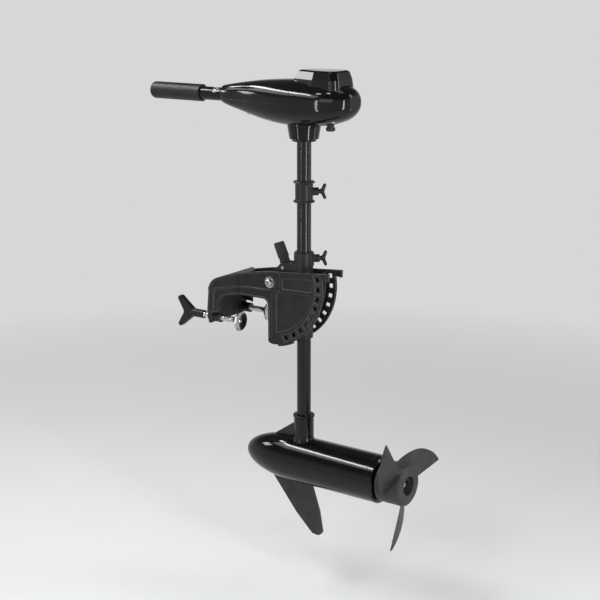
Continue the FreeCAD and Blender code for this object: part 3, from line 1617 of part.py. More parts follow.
# share of the width from the rear edge to the front edge, share of the half thickness there
BLADE_LENS = ((0.0, 0.2), (0.25, 0.85), (0.55, 1.0), (0.85, 0.7), (1.0, 0.2))


def blade_section(radius, front_turn, aft, thickness, spin):
    """A flat lens across the blade, along a screw line from its rear edge to its front edge."""
    lean = math.radians(BLADE_LEAN)
    front = math.radians(front_turn) - lean
    height, front_side = radius * math.cos(front), radius * math.sin(front)
    rear_side = -height * math.tan(lean)
    rise = S.blade_pitch.value / math.tau

    def point(share, half):
        side = rear_side + share * (front_side - rear_side)
        slope = rise * height / (height * height + side * side)
        x = aft - rise * (math.atan2(side, height) + lean)
        off = half * thickness / 2 / math.hypot(1, slope)
        return height, side + off * slope, x + off

    def placed(height, side, x):
        y = height * math.cos(spin) - side * math.sin(spin)
        return Vector(x, y, height * math.sin(spin) + side * math.cos(spin))

    sides = []
    for sign in (1, -1):
        points = [placed(*point(share, sign * half)) for share, half in BLADE_LENS]
        curve = Part.BSplineCurve()
        curve.interpolate(points)
        sides.append((curve.toShape(), points[0], points[-1]))
    (back, rear_back, front_back), (face, rear_face, front_face) = sides
    edges = [back, Part.makeLine(front_back, front_face), face, Part.makeLine(rear_face, rear_back)]
    return Part.Wire(Part.sortEdges(edges)[0])


def blade_form(spin):
    """One blade, thinner towards its tip."""
    aft = (S.bell_back + S.hub_gap + S.hub_length - S.blade_setback).value
    tip = BLADE_FRONT[-1][0]
    wires = []
    for radius, front_turn in BLADE_FRONT:
        thickness = S.blade_thickness.value * (1 - S.blade_thinning.value * radius / tip)
        wires.append(blade_section(radius, front_turn, aft, thickness, spin))
    return Part.makeLoft(wires, True, False)


def propeller():
    at = dict(x=S.shaft_offset, z=-S.motor_depth)
    start = S.bell_back + S.hub_gap
    end = start + S.hub_length
    shaft = S.armature_radius
    blades = []
    for number in range(BLADE_COUNT):
        turned = S.blade_start_angle.value + BLADE_LEAN + number * 360 / BLADE_COUNT
        blades.append(blade_form(math.radians(turned)))
    hub = revolved_shape(
        [(start, S.hub_cup_radius), (start, S.hub_radius - S.hub_front_bevel),
         (start + S.hub_front_bevel, S.hub_radius), (end - S.hub_taper_length, S.hub_radius),
         (end - S.hub_end_length, S.hub_end_radius), (end, S.hub_end_radius - S.hub_end_bevel),
         (end, S.recess_radius), (end - S.recess_depth, S.recess_radius), (end - S.recess_depth, shaft),
         (start + S.hub_cup_depth, shaft), (start + S.hub_cup_depth, S.hub_cup_radius)]
    )
    core_radius = S.hub_radius.value - S.blade_root_sink.value
    core = Part.makeCylinder(core_radius, 4 * S.hub_length.value, Vector(0, 0, 0), Vector(1, 0, 0))
    whole = hub
    for copy in blades:
        whole = whole.fuse(copy.cut(core))
    pin = Part.makeCylinder(
        S.drive_pin_diameter.value / 2, S.drive_pin_length.value,
        Vector(drive_pin_place().value, 0, -S.drive_pin_length.value / 2),
    )
    whole = whole.cut(pin)
    solid_feature("propeller", whole, **at)
    reach = S.drive_pin_length / 2
    cross = rod("drive_pin_body", "Z", -reach, reach, S.drive_pin_diameter / 2)
    keep(place(cross, S.shaft_offset + drive_pin_place(), 0, -S.motor_depth), "drive_pin")
    washer, outer = S.prop_washer_thickness, S.prop_washer_radius
    low = end - S.recess_depth
    turned_piece(
        "propeller_washer", "X",
        [(low, shaft), (low + washer, shaft), (low + washer, outer), (low, outer)],
        **at,
    )
    nut = hexagon_nut("prop_nut", "YZ_Plane", S.prop_nut_width, shaft, low + washer, S.prop_nut_height)
    keep(place(nut, **at), "propeller_nut")


def revolved_shape(corners):
    points = [Vector(as_size(x).value, 0, as_size(r).value) for x, r in corners]
    face = Part.Face(Part.makePolygon(points + points[:1]))
    return face.revolve(Vector(), Vector(1, 0, 0), 360)


def write_parts():
    document.recompute()
    for thing in document.Objects:
        if "Invalid" in thing.State or "Error" in thing.State:
            raise RuntimeError(f"{thing.Name} failed: {thing.State}")
    os.makedirs("parts", exist_ok=True)
    for thing in kept:
        shape = thing.Shape
        if shape.isNull() or not shape.isValid() or not shape.Solids:
            raise RuntimeError(f"{thing.Label} has no valid solid")
        shape.exportStep(f"parts/{thing.Label}.step")
        print(thing.Label, len(shape.Solids), round(shape.Volume))


bracket()
pivot()
clamp(-1, "port")
clamp(1, "starboard")
carrier()
tilt_lock()
shaft_group()
head()
handle()
lower_unit()
propeller()
write_parts()
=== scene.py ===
"""Studio scene of a transom-mounted electric trolling motor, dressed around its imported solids."""
import math

import bmesh
import bpy
from bpy.props import FloatProperty, FloatVectorProperty, IntProperty, PointerProperty
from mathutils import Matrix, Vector
from mathutils.bvhtree import BVHTree


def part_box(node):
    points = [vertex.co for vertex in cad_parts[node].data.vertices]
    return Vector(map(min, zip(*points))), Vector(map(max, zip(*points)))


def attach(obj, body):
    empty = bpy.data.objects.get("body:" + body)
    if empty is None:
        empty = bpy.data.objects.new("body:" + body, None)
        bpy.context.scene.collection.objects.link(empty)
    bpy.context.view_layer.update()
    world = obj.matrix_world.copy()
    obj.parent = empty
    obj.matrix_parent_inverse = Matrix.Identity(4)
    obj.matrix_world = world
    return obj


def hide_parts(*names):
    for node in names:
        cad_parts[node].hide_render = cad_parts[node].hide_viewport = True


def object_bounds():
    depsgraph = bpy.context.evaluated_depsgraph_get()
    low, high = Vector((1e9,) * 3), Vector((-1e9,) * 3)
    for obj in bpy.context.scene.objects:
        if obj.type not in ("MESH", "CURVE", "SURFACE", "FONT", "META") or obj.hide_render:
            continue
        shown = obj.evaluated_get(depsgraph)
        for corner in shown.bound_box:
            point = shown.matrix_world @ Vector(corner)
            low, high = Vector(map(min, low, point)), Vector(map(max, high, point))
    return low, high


bl_info = {
    "name": "Trolling Motor Dressing",
    "version": (1, 0, 0),
    "blender": (4, 5, 0),
    "location": "3D View > Sidebar > Trolling Motor",
    "description": "Finishes a trolling motor's solids, adds its fine pieces and sets up a studio",
    "category": "Object",
}

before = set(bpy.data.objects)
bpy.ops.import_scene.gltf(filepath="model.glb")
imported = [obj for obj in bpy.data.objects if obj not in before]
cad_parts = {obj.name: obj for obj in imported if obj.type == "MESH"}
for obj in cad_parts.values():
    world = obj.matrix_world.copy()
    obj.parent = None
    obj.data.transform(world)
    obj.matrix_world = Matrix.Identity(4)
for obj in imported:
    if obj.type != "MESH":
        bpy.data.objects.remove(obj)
CAD_BOX = [list(corner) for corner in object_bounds()]
SHAFT_PLACE = sum(corner[0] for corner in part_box("shaft_tube")) / 2

# Pairs of screws under the head: distance aft of the transom, and half the gap between the two.
HEAD_SCREW_PAIRS = ((-0.055, 0.012), (0.012, 0.030), (0.155, 0.024))
HEAD_SCREW_RADIUS = 0.0034

# Edge of a small wing from its waist round to its notch: distance short of the tip, and share of
# the half width.
WING_EDGE = (
    (0.0058, 0.90), (0.0046, 0.985), (0.0030, 1.0), (0.0012, 0.97), (0.0002, 0.88), (0.0, 0.76),
    (0.0016, 0.46), (0.0032, 0.22), (0.0038, 0.0),
)
WING_WAIST = 0.0022
# Rounding of a small wing: share of its half thickness, and share of its outline there.
WING_LEVELS = ((-1.0, 0.90), (-0.80, 0.975), (-0.45, 1.0), (0.45, 1.0), (0.80, 0.975), (1.0, 0.90))

THREAD_RINGS = 6  # rings of the mesh in one turn of a clamp screw's thread
BALL_RINGS = 12

# Faces round a turned piece: a wide one, a wing screw's stem, a clamp screw and a housing screw.
WIDE_STEPS, STEM_STEPS, ROD_STEPS, SCREW_STEPS = 72, 48, 40, 32

INK_THICKNESS = 0.00003
INK_LIFT = 0.00005
LETTER_SHARE = 1.4  # a letter's type size over the height of a figure
TICK_GAP = 0.0022
TICK_LENGTH = 0.0036
TICK_HALF_WIDTH = 0.00045
TICK_LEVELS = (0.00002, 0.00009)  # underside and top of a printed line, above the tube

# Painted highlight where the rounded normal leaves the flat one at an edge: cosines where the painted
# highlight is full and gone.
HIGHLIGHT_FULL, HIGHLIGHT_GONE = 0.80, 0.96

FLOOR_REACH = 9.0
FLOOR_NEAR, FLOOR_FAR = 0.7, 2.4  # where the floor starts and ends turning into the backdrop
HORIZON_RISE, CEILING_RISE = 0.10, 0.50  # upward part of a direction, at the backdrop and ceiling

# Each lamp's name, place, width and height, and share of the lamp power.
SOFTBOXES = (
    ("key_softbox", (-1.18, -0.62, 1.65), (1.7, 0.13), 2.5),
    ("key_spread", (-1.05, -0.95, 1.45), (1.7, 0.45), 1.0),
    ("fill_softbox", (0.2, -2.2, 1.1), (1.2, 0.7), 0.6),
    ("hump_softbox", (-1.78, -0.54, 0.92), (0.45, 0.35), 0.7),
    ("near_window", (-0.46, -1.04, 1.85), (0.16, 0.22), 0.30),
    ("far_window", (-0.04, -0.79, 2.10), (0.16, 0.22), 0.30),
    ("left_strip", (-0.25, -1.28, 0.20), (0.05, 1.1), 0.45),
    ("right_strip", (1.22, -0.44, 0.20), (0.14, 1.1), 1.15),
    ("rim_strip", (1.13, 0.65, 0.20), (0.08, 1.1), 0.25),
    ("rim_softbox", (1.7, 1.1, 1.2), (0.5, 1.4), 1.0),
    ("top_softbox", (0.1, 0.2, 2.2), (1.4, 0.6), 0.6),
)
LAMP_AIM = (0.05, 0.0, 0.0)


# ---------------------------------------------------------------- settings

class MotorFinishes(bpy.types.PropertyGroup):
    """Colours and textures of the motor's materials."""

    gloss_colour: FloatVectorProperty(
        name="Gloss black", description="Head mouldings and painted motor castings",
        subtype="COLOR", default=(0.0030, 0.0030, 0.0034), min=0, max=1)
    bracket_colour: FloatVectorProperty(
        name="Bracket nylon", description="Glass-filled nylon of the clamp bracket",
        subtype="COLOR", default=(0.0100, 0.0093, 0.0103), min=0, max=1)
    propeller_colour: FloatVectorProperty(
        name="Propeller nylon", description="Propeller, skeg and socket fin",
        subtype="COLOR", default=(0.026, 0.0248, 0.0268), min=0, max=1)
    figure_colour: FloatVectorProperty(
        name="Speed figures", description="Printed figures on the tiller tube",
        subtype="COLOR", default=(0.78, 0.78, 0.76), min=0, max=1)
    edge_round: FloatProperty(
        name="Edge rounding", description="Radius that catches light along the bracket's edges",
        subtype="DISTANCE", default=0.0020, min=0, max=0.003)


class MotorFittings(bpy.types.PropertyGroup):
    """Sizes of the fine pieces that the scene adds."""

    thread_pitch: FloatProperty(
        name="Clamp thread pitch", description="Travel of a clamp screw in one turn",
        subtype="DISTANCE", default=0.00175, min=0.0005, max=0.004)
    thread_depth: FloatProperty(
        name="Clamp thread depth", description="Depth of the thread below the rod's surface",
        subtype="DISTANCE", default=0.0007, min=0.0001, max=0.002)
    thread_start: FloatProperty(
        name="Thread start", description="From the knob's end of a clamp screw to its thread",
        subtype="DISTANCE", default=0.030, min=0.0, max=0.09)
    thread_runout: FloatProperty(
        name="Thread run-out", description="From the thread's end to the shoulder before the ball",
        subtype="DISTANCE", default=0.004, min=0.002, max=0.02)
    ball_radius: FloatProperty(
        name="Ball radius", description="Ball that a clamp pad swivels on",
        subtype="DISTANCE", default=0.0052, min=0.003, max=0.006)
    neck_length: FloatProperty(
        name="Ball neck", description="From a clamp screw's shoulder to its ball",
        subtype="DISTANCE", default=0.0008, min=0.0, max=0.01)
    wing_bearing: FloatProperty(
        name="Wing screw bearing", description="Bearing of the small wing screws round the shaft",
        subtype="ANGLE", default=math.radians(40.0))
    wing_length: FloatProperty(
        name="Wing length", description="Length of a small wing along its screw",
        subtype="DISTANCE", default=0.0125, min=0.005, max=0.02)
    wing_thickness: FloatProperty(
        name="Wing thickness", description="Thickness of a small wing",
        subtype="DISTANCE", default=0.0068, min=0.002, max=0.01)
    wing_hub: FloatProperty(
        name="Wing hub radius", description="Radius of a small wing screw's hub",
        subtype="DISTANCE", default=0.0045, min=0.002, max=0.006)
    wing_stem: FloatProperty(
        name="Wing stem radius", description="Radius of a small wing screw's threaded stem",
        subtype="DISTANCE", default=0.0030, min=0.001, max=0.004)
    bolt_head: FloatProperty(
        name="Pivot bolt head", description="Height of the pivot bolt's head",
        subtype="DISTANCE", default=0.006, min=0.002, max=0.012)
    bolt_radius: FloatProperty(
        name="Pivot bolt radius", description="Radius of the pivot bolt's shank",
        subtype="DISTANCE", default=0.005, min=0.003, max=0.008)
    bolt_socket: FloatProperty(
        name="Pivot bolt socket", description="Half the width across the hexagon socket's flats",
        subtype="DISTANCE", default=0.0030, min=0.001, max=0.005)
    nut_bore: FloatProperty(
        name="Nut bore", description="Radius of the hole in the pivot's and the propeller's nut",
        subtype="DISTANCE", default=0.005, min=0.003, max=0.008)
    figure_height: FloatProperty(
        name="Figure height", description="Height of the speed figures",
        subtype="DISTANCE", default=0.0082, min=0.003, max=0.012)
    figure_place: FloatProperty(
        name="Figure place", description="From the tiller tube's end in the head to the figures",
        subtype="DISTANCE", default=0.0530, min=0.01, max=0.08)
    figure_step: FloatProperty(
        name="Figure step", description="Turn of the tiller from one figure to the next",
        subtype="ANGLE", default=math.radians(21.0), min=0.1, max=1.0)
    ahead: IntProperty(
        name="Speeds ahead", description="Forward speeds marked on the tiller tube",
        default=5, min=1, max=9)
    astern: IntProperty(
        name="Speeds astern", description="Reverse speeds marked on the tiller tube",
        default=3, min=1, max=9)


class MotorStudio(bpy.types.PropertyGroup):
    """Camera, floor, sky and lamps."""

    azimuth: FloatProperty(
        name="Azimuth", description="Camera's bearing round the motor",
        subtype="ANGLE", default=math.radians(35.0))
    elevation: FloatProperty(
        name="Elevation", description="Camera's height above the horizon",
        subtype="ANGLE", default=math.radians(14.3))
    distance: FloatProperty(
        name="Distance", description="From the camera to the point it is set out from",
        subtype="DISTANCE", default=2.620, min=0.5)
    aim: FloatVectorProperty(
        name="Aim", description="Point on the motor that the camera is set out from",
        subtype="TRANSLATION", default=(0.071, 0.0, 0.052))
    side_step: FloatProperty(
        name="Side step", description="How far to the left of that point the camera looks",
        subtype="DISTANCE", default=0.00806)
    lens: FloatProperty(
        name="Lens", description="Focal length", subtype="DISTANCE_CAMERA", default=78.0)
    floor_gap: FloatProperty(
        name="Floor gap", description="Below the skeg's tip, more than the shaft can drop",
        subtype="DISTANCE", default=0.112, min=0)
    floor_colour: FloatVectorProperty(
        name="Floor", description="Paint of the studio floor",
        subtype="COLOR", default=(0.70, 0.705, 0.71), min=0, max=1)
    sky_colour: FloatVectorProperty(
        name="Sky", description="Colour of the light from all round",
        subtype="COLOR", default=(0.80, 0.82, 0.85), min=0, max=1)
    sky_strength: FloatProperty(
        name="Sky strength", description="Strength of the light from all round", default=0.30, min=0)
    backdrop_level: FloatProperty(
        name="Backdrop level", description="Brightness of the backdrop and the far floor, as seen",
        default=0.68, min=0, max=1)
    ceiling_level: FloatProperty(
        name="Ceiling level", description="Brightness of the ceiling, as seen",
        default=0.10, min=0, max=1)
    lamp_power: FloatProperty(
        name="Lamp power", description="Strength of the softboxes",
        subtype="POWER", default=8.6, min=0)


# ---------------------------------------------------------------- materials

class Finish:
    """A principled material with its texture nodes laid out in object space."""

    def __init__(self, name, colour, roughness, metallic=0.0, coat=0.0, coat_roughness=0.03,
                 specular=0.5):
        self.material = bpy.data.materials.new(name)
        self.material.use_nodes = True
        self.tree = self.material.node_tree
        self.shader = self.tree.nodes["Principled BSDF"]
        self.colour = (*colour[:3], 1.0)
        self.shader.inputs["Base Color"].default_value = self.colour
        self.shader.inputs["Roughness"].default_value = roughness
        self.shader.inputs["Metallic"].default_value = metallic
        self.shader.inputs["Coat Weight"].default_value = coat
        self.shader.inputs["Coat Roughness"].default_value = coat_roughness
        self.shader.inputs["Specular IOR Level"].default_value = specular
        self.place = self.node("ShaderNodeTexCoord").outputs["Object"]
        self.normal = None

    def node(self, kind, **settings):
        """Adds a node with its settings."""
        made = self.tree.nodes.new(kind)
        for key, value in settings.items():
            setattr(made, key, value)
        return made

    def link(self, output, socket):
        """Joins an output to a socket."""
        self.tree.links.new(output, socket)

    def stretched(self, scale):
        """Object coordinates, stretched so that a noise draws out into lines."""
        mapping = self.node("ShaderNodeMapping")
        mapping.inputs["Scale"].default_value = scale
        self.link(self.place, mapping.inputs["Vector"])
        return mapping.outputs["Vector"]

    def noise(self, scale, detail, place=None):
        """A cloud with about scale cells in a metre."""
        noise = self.node("ShaderNodeTexNoise")
        noise.inputs["Scale"].default_value = scale
        noise.inputs["Detail"].default_value = detail
        self.link(place or self.place, noise.inputs["Vector"])
        return noise.outputs["Fac"]

    def between(self, value, low, high, start=0.35, end=0.65):
        """Spreads a value's stretch from start to end over low to high."""
        band = self.node("ShaderNodeMapRange")
        band.inputs["From Min"].default_value = start
        band.inputs["From Max"].default_value = end
        band.inputs["To Min"].default_value = low
        band.inputs["To Max"].default_value = high
        self.link(value, band.inputs["Value"])
        return band.outputs["Result"]

    def mottle(self, value, other, low=0.35, high=0.65):
        """Base colour drifts towards the other colour where the value is high."""
        mix = self.node("ShaderNodeMix", data_type="RGBA")
        mix.inputs["A"].default_value = self.colour
        mix.inputs["B"].default_value = (*other[:3], 1.0)
        self.link(self.between(value, 0.0, 1.0, low, high), mix.inputs["Factor"])
        self.link(mix.outputs["Result"], self.shader.inputs["Base Color"])

    def roughen(self, value, low, high):
        """Roughness goes from low to high with the value."""
        self.link(self.between(value, low, high), self.shader.inputs["Roughness"])

    def round_edges(self, radius):
        """Lets sharp edges catch light as if they were rounded."""
        bevel = self.node("ShaderNodeBevel", samples=4)
        bevel.inputs["Radius"].default_value = radius
        self.normal = bevel.outputs["Normal"]

    def wear_edges(self, colour, share):
        """Paints a paler highlight colour along edges, where the rounded normal leaves the flat one."""
        lean = self.node("ShaderNodeVectorMath", operation="DOT_PRODUCT")
        self.link(self.normal, lean.inputs[0])
        self.link(self.node("ShaderNodeNewGeometry").outputs["Normal"], lean.inputs[1])
        base = self.shader.inputs["Base Color"].links[0].from_socket
        mix = self.node("ShaderNodeMix", data_type="RGBA")
        mix.inputs["B"].default_value = (*colour[:3], 1.0)
        self.link(base, mix.inputs["A"])
        self.link(self.between(lean.outputs["Value"], share, 0.0, HIGHLIGHT_FULL, HIGHLIGHT_GONE), mix.inputs["Factor"])
        self.link(mix.outputs["Result"], self.shader.inputs["Base Color"])

    def bump(self, height, distance):
        """Raises the surface with a value, by the distance where it is full."""
        bump = self.node("ShaderNodeBump")
        bump.inputs["Strength"].default_value = 1.0
        bump.inputs["Distance"].default_value = distance
        self.link(height, bump.inputs["Height"])
        if self.normal:
            self.link(self.normal, bump.inputs["Normal"])
        self.normal = bump.outputs["Normal"]

    def finish(self):
        """Joins the bumped normal and gives the material."""
        if self.normal:
            self.link(self.normal, self.shader.inputs["Normal"])
        return self.material


def lighter(colour, share):
    """A colour times a share, up to white."""
    return tuple(min(1.0, part * share) for part in colour[:3])


def moulded_nylon(name, colour, roughness, edge=0.0006, wear_and_highlight=6.0):
    """Glass-filled nylon: a fine moulded grain, cloudy sheen and a painted highlight along the edges."""
    finish = Finish(name, colour, roughness, specular=0.2)
    finish.mottle(finish.noise(scale=38.0, detail=4.0), lighter(colour, 1.45))
    finish.roughen(finish.noise(scale=210.0, detail=5.0), roughness - 0.07, roughness + 0.08)
    finish.round_edges(edge)
    # Painted highlight along the edges, in a colour paler by the given factor.
    finish.wear_edges(lighter(colour, wear_and_highlight), share=0.85)
    finish.bump(finish.noise(scale=2600.0, detail=2.0), distance=0.00002)
    finish.bump(finish.noise(scale=95.0, detail=2.0), distance=0.00004)
    return finish.finish()


def gloss_moulding(name, colour, ripple=0.00003, coat=0.15, edge=0.0008):
    """High-gloss black, clear but for the faint waviness of a moulding or of sprayed paint."""
    finish = Finish(name, colour, 0.09, coat=coat, coat_roughness=0.02, specular=0.22)
    finish.mottle(finish.noise(scale=26.0, detail=5.0), lighter(colour, 1.6))
    finish.roughen(finish.noise(scale=340.0, detail=6.0), low=0.06, high=0.13)
    finish.round_edges(edge)
    finish.bump(finish.noise(scale=120.0, detail=1.5), ripple)
    return finish.finish()


def satin_enamel(name, colour, stretch):
    """Satin enamel on a drawn tube, with draw lines along it and small scuffs."""
    finish = Finish(name, colour, 0.20, coat=0.1, coat_roughness=0.08, specular=0.26)
    lines = finish.noise(scale=1.0, detail=3.0, place=finish.stretched(stretch))
    finish.roughen(lines, low=0.15, high=0.26)
    scuffs = finish.noise(scale=160.0, detail=8.0)
    finish.mottle(scuffs, lighter(colour, 2.4), low=0.6, high=0.8)
    finish.round_edges(radius=0.0004)
    finish.bump(lines, distance=0.00001)
    return finish.finish()


def plated_steel(name, colour, roughness, stretch=(60.0, 60.0, 60.0)):
    """Bright plated steel with fine turning marks and a faint tarnish."""
    finish = Finish(name, colour, roughness, metallic=1.0)
    marks = finish.noise(scale=22.0, detail=4.0, place=finish.stretched(stretch))
    tarnish = finish.noise(scale=70.0, detail=4.0)
    finish.mottle(tarnish, lighter(colour, 0.78), low=0.45, high=0.75)
    finish.roughen(marks, max(0.03, roughness - 0.06), roughness + 0.1)
    finish.round_edges(radius=0.0003)
    finish.bump(marks, distance=0.000006)
    return finish.finish()


def soft_rubber(name, colour, roughness):
    """Rubber with a matt skin, fine pores and a dusty bloom."""
    finish = Finish(name, colour, roughness, specular=0.25)
    finish.mottle(finish.noise(scale=55.0, detail=6.0), lighter(colour, 1.6))
    finish.roughen(finish.noise(scale=420.0, detail=4.0), roughness - 0.06, roughness + 0.1)
    finish.round_edges(radius=0.0008)
    finish.bump(finish.noise(scale=1900.0, detail=3.0), distance=0.00003)
    return finish.finish()


def wound_copper(name, colour):
    """Rows of enamelled wire."""
    finish = Finish(name, colour, 0.32, metallic=0.85, coat=0.4, coat_roughness=0.1)
    rows = finish.node("ShaderNodeTexWave", wave_type="RINGS", rings_direction="X")
    rows.inputs["Scale"].default_value = 330.0
    rows.inputs["Distortion"].default_value = 1.5
    finish.link(finish.place, rows.inputs["Vector"])
    finish.mottle(rows.outputs["Fac"], lighter(colour, 0.45), low=0.3, high=0.9)
    finish.bump(rows.outputs["Fac"], distance=0.0003)
    return finish.finish()


def laminated_core(name, colour):
    """Edges of stacked laminations across the motor's axis."""
    finish = Finish(name, colour, 0.42, metallic=0.9)
    sheets = finish.node("ShaderNodeTexWave", bands_direction="X")
    sheets.inputs["Scale"].default_value = 320.0
    finish.link(finish.place, sheets.inputs["Vector"])
    finish.mottle(sheets.outputs["Fac"], lighter(colour, 0.5), low=0.4, high=0.9)
    finish.bump(sheets.outputs["Fac"], distance=0.0001)
    return finish.finish()


def speckled(name, colour, roughness, metallic=0.0):
    """Pressed or sintered stock with a speckled surface."""
    finish = Finish(name, colour, roughness, metallic=metallic)
    grains = finish.noise(scale=700.0, detail=6.0)
    finish.mottle(grains, lighter(colour, 2.0), low=0.5, high=0.7)
    finish.round_edges(radius=0.0004)
    finish.bump(grains, distance=0.00002)
    return finish.finish()


def printed_ink(name, colour):
    """Ink that has worn thin in places."""
    finish = Finish(name, colour, 0.5)
    wear_and_highlight = finish.noise(scale=1500.0, detail=4.0)
    finish.mottle(wear_and_highlight, lighter(colour, 0.7), low=0.55, high=0.75)
    finish.bump(wear_and_highlight, distance=0.00001)
    return finish.finish()


def paint(material, *nodes):
    """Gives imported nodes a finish."""
    for name in nodes:
        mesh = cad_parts[name].data
        mesh.materials.clear()
        mesh.materials.append(material)


# ---------------------------------------------------------------- helpers

def box_of(node):
    """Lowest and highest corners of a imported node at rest."""
    low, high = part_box(node)
    return Vector(low), Vector(high)


def new_piece(name, mesh, material, body, replaced=()):
    """A piece that rides on a body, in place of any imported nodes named."""
    piece = bpy.data.objects.new(name, mesh)
    bpy.context.scene.collection.objects.link(piece)
    mesh.materials.append(material)
    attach(piece, body)
    if replaced:
        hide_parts(*replaced)


def mesh_from(name, build, smooth_angle=math.radians(35)):
    """A mesh filled in by the build function, smooth but for its sharp edges."""
    shape = bmesh.new()
    build(shape)
    bmesh.ops.remove_doubles(shape, verts=shape.verts, dist=1e-7)
    bmesh.ops.recalc_face_normals(shape, faces=shape.faces)
    mesh = bpy.data.meshes.new(name)
    shape.to_mesh(mesh)
    shape.free()
    mesh.shade_smooth()
    mesh.set_sharp_from_angle(angle=smooth_angle)
    return mesh


def polygon_share(angle, sides):
    """How far a regular polygon reaches at an angle, over the radius of the circle inside it."""
    part = math.tau / sides
    return 1.0 / math.cos((angle + part / 2) % part - part / 2)


def lathe(shape, profile, foot, axis, steps, wobble=None):
    """Turns (along, radius) points about an axis; a third value gives the ring flat sides.

    A wobble changes a point's radius by its place and angle."""
    direction = Vector(axis).normalized()
    side = direction.orthogonal().normalized()
    other = direction.cross(side)
    rings = []
    for along, radius, *sides in profile:
        ring = []
        for step in range(steps):
            angle = math.tau * step / steps
            size = radius * (polygon_share(angle, sides[0]) if sides else 1.0)
            size += wobble(along, angle) if wobble and radius > 0 else 0.0
            spot = Vector(foot) + direction * along
            spot += (side * math.cos(angle) + other * math.sin(angle)) * size
            ring.append(shape.verts.new(spot))
        rings.append(ring)
    for first, second in zip(rings, rings[1:]):
        for step in range(steps):
            following = (step + 1) % steps
            shape.faces.new((first[step], first[following], second[following], second[step]))


def surface_under(node, start, direction):
    """Where a line meets a solid's surface, and the surface's outward normal there."""
    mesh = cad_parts[node].data
    tree = BVHTree.FromPolygons([v.co for v in mesh.vertices], [p.vertices for p in mesh.polygons])
    spot, normal, _, _ = tree.ray_cast(Vector(start), Vector(direction))
    if spot is None:
        raise RuntimeError(f"no surface of {node} below {start}")
    return spot, normal if normal.dot(Vector(direction)) < 0 else -normal


def cross_screw(name, spot, normal, radius, material, body):
    """A pan-head screw with a cross recess, seated on a surface."""
    rise = radius * 0.55
    recess = rise * 0.30

    def cross(along, angle):
        return radius * 0.16 * math.cos(4 * angle) if along == recess else 0.0

    def build(shape):
        lathe(shape, [
            (-radius * 0.5, radius * 0.92), (0.0, radius), (rise * 0.35, radius * 0.97),
            (rise * 0.75, radius * 0.80), (rise, radius * 0.52), (rise, radius * 0.50),
            (recess, radius * 0.26), (rise * 0.22, 0.0),
        ], spot, normal, SCREW_STEPS, cross)

    new_piece(name, mesh_from(name, build), material, body)


def chamfered_nut(name, node, axis, bore, material, body):
    """A hexagon nut with chamfered corners and a nylon-insert collar, in a plain nut's place."""
    low, high = box_of(node)
    direction = Vector(axis)
    height = (high - low).dot(direction)
    flat = min(high[n] - low[n] for n in range(3) if not direction[n]) / 2
    foot = (low + high) / 2 - direction * height / 2
    chamfer = flat * 0.11
    collar = height * 0.66

    def build(shape):
        lathe(shape, [
            (0.0, bore), (0.0, flat * 0.97), (chamfer, flat, 6), (collar, flat, 6),
            (collar + chamfer, flat * 0.94), (height * 0.97, flat * 0.90), (height, flat * 0.84),
            (height, bore * 1.04), (height * 0.9, bore), (0.0, bore),
        ], foot, direction, WIDE_STEPS)

    new_piece(name, mesh_from(name, build, math.radians(28)), material, body, (node,))


def softbox(name, place, size, power):
    """A rectangular lamp aimed at the motor."""
    lamp = bpy.data.lights.new(name, "AREA")
    lamp.shape = "RECTANGLE"
    lamp.size, lamp.size_y = size
    lamp.energy = power
    holder = bpy.data.objects.new(name, lamp)
    bpy.context.scene.collection.objects.link(holder)
    holder.location = place
    aim = Vector(LAMP_AIM) - Vector(place)
    holder.rotation_euler = aim.to_track_quat("-Z", "Y").to_euler()


def shown_white(tree, lit_output, socket, shade, strength, share=None, level=None):
    """Joins a lit shader with plain white light for rays that come from the camera or a mirror.

    A share limits where the white is used, and a level takes the place of its strength."""
    path = tree.nodes.new("ShaderNodeLightPath")
    white = tree.nodes.new(shade)
    white.inputs["Color"].default_value = (1.0, 1.0, 1.0, 1.0)
    white.inputs["Strength"].default_value = strength
    if level:
        tree.links.new(level, white.inputs["Strength"])
    seen = path.outputs["Is Camera Ray"]
    for ray in ("Is Glossy Ray", "Is Transmission Ray"):
        either = tree.nodes.new("ShaderNodeMath")
        either.operation = "MAXIMUM"
        tree.links.new(seen, either.inputs[0])
        tree.links.new(path.outputs[ray], either.inputs[1])
        seen = either.outputs["Value"]
    if share:
        product = tree.nodes.new("ShaderNodeMath")
        product.operation = "MULTIPLY"
        tree.links.new(seen, product.inputs[0])
        tree.links.new(share, product.inputs[1])
        seen = product.outputs["Value"]
    mix = tree.nodes.new("ShaderNodeMixShader")
    tree.links.new(seen, mix.inputs["Fac"])
    tree.links.new(lit_output, mix.inputs[1])
    tree.links.new(white.outputs[0], mix.inputs[2])
    tree.links.new(mix.outputs["Shader"], socket)


# ---------------------------------------------------------------- operators

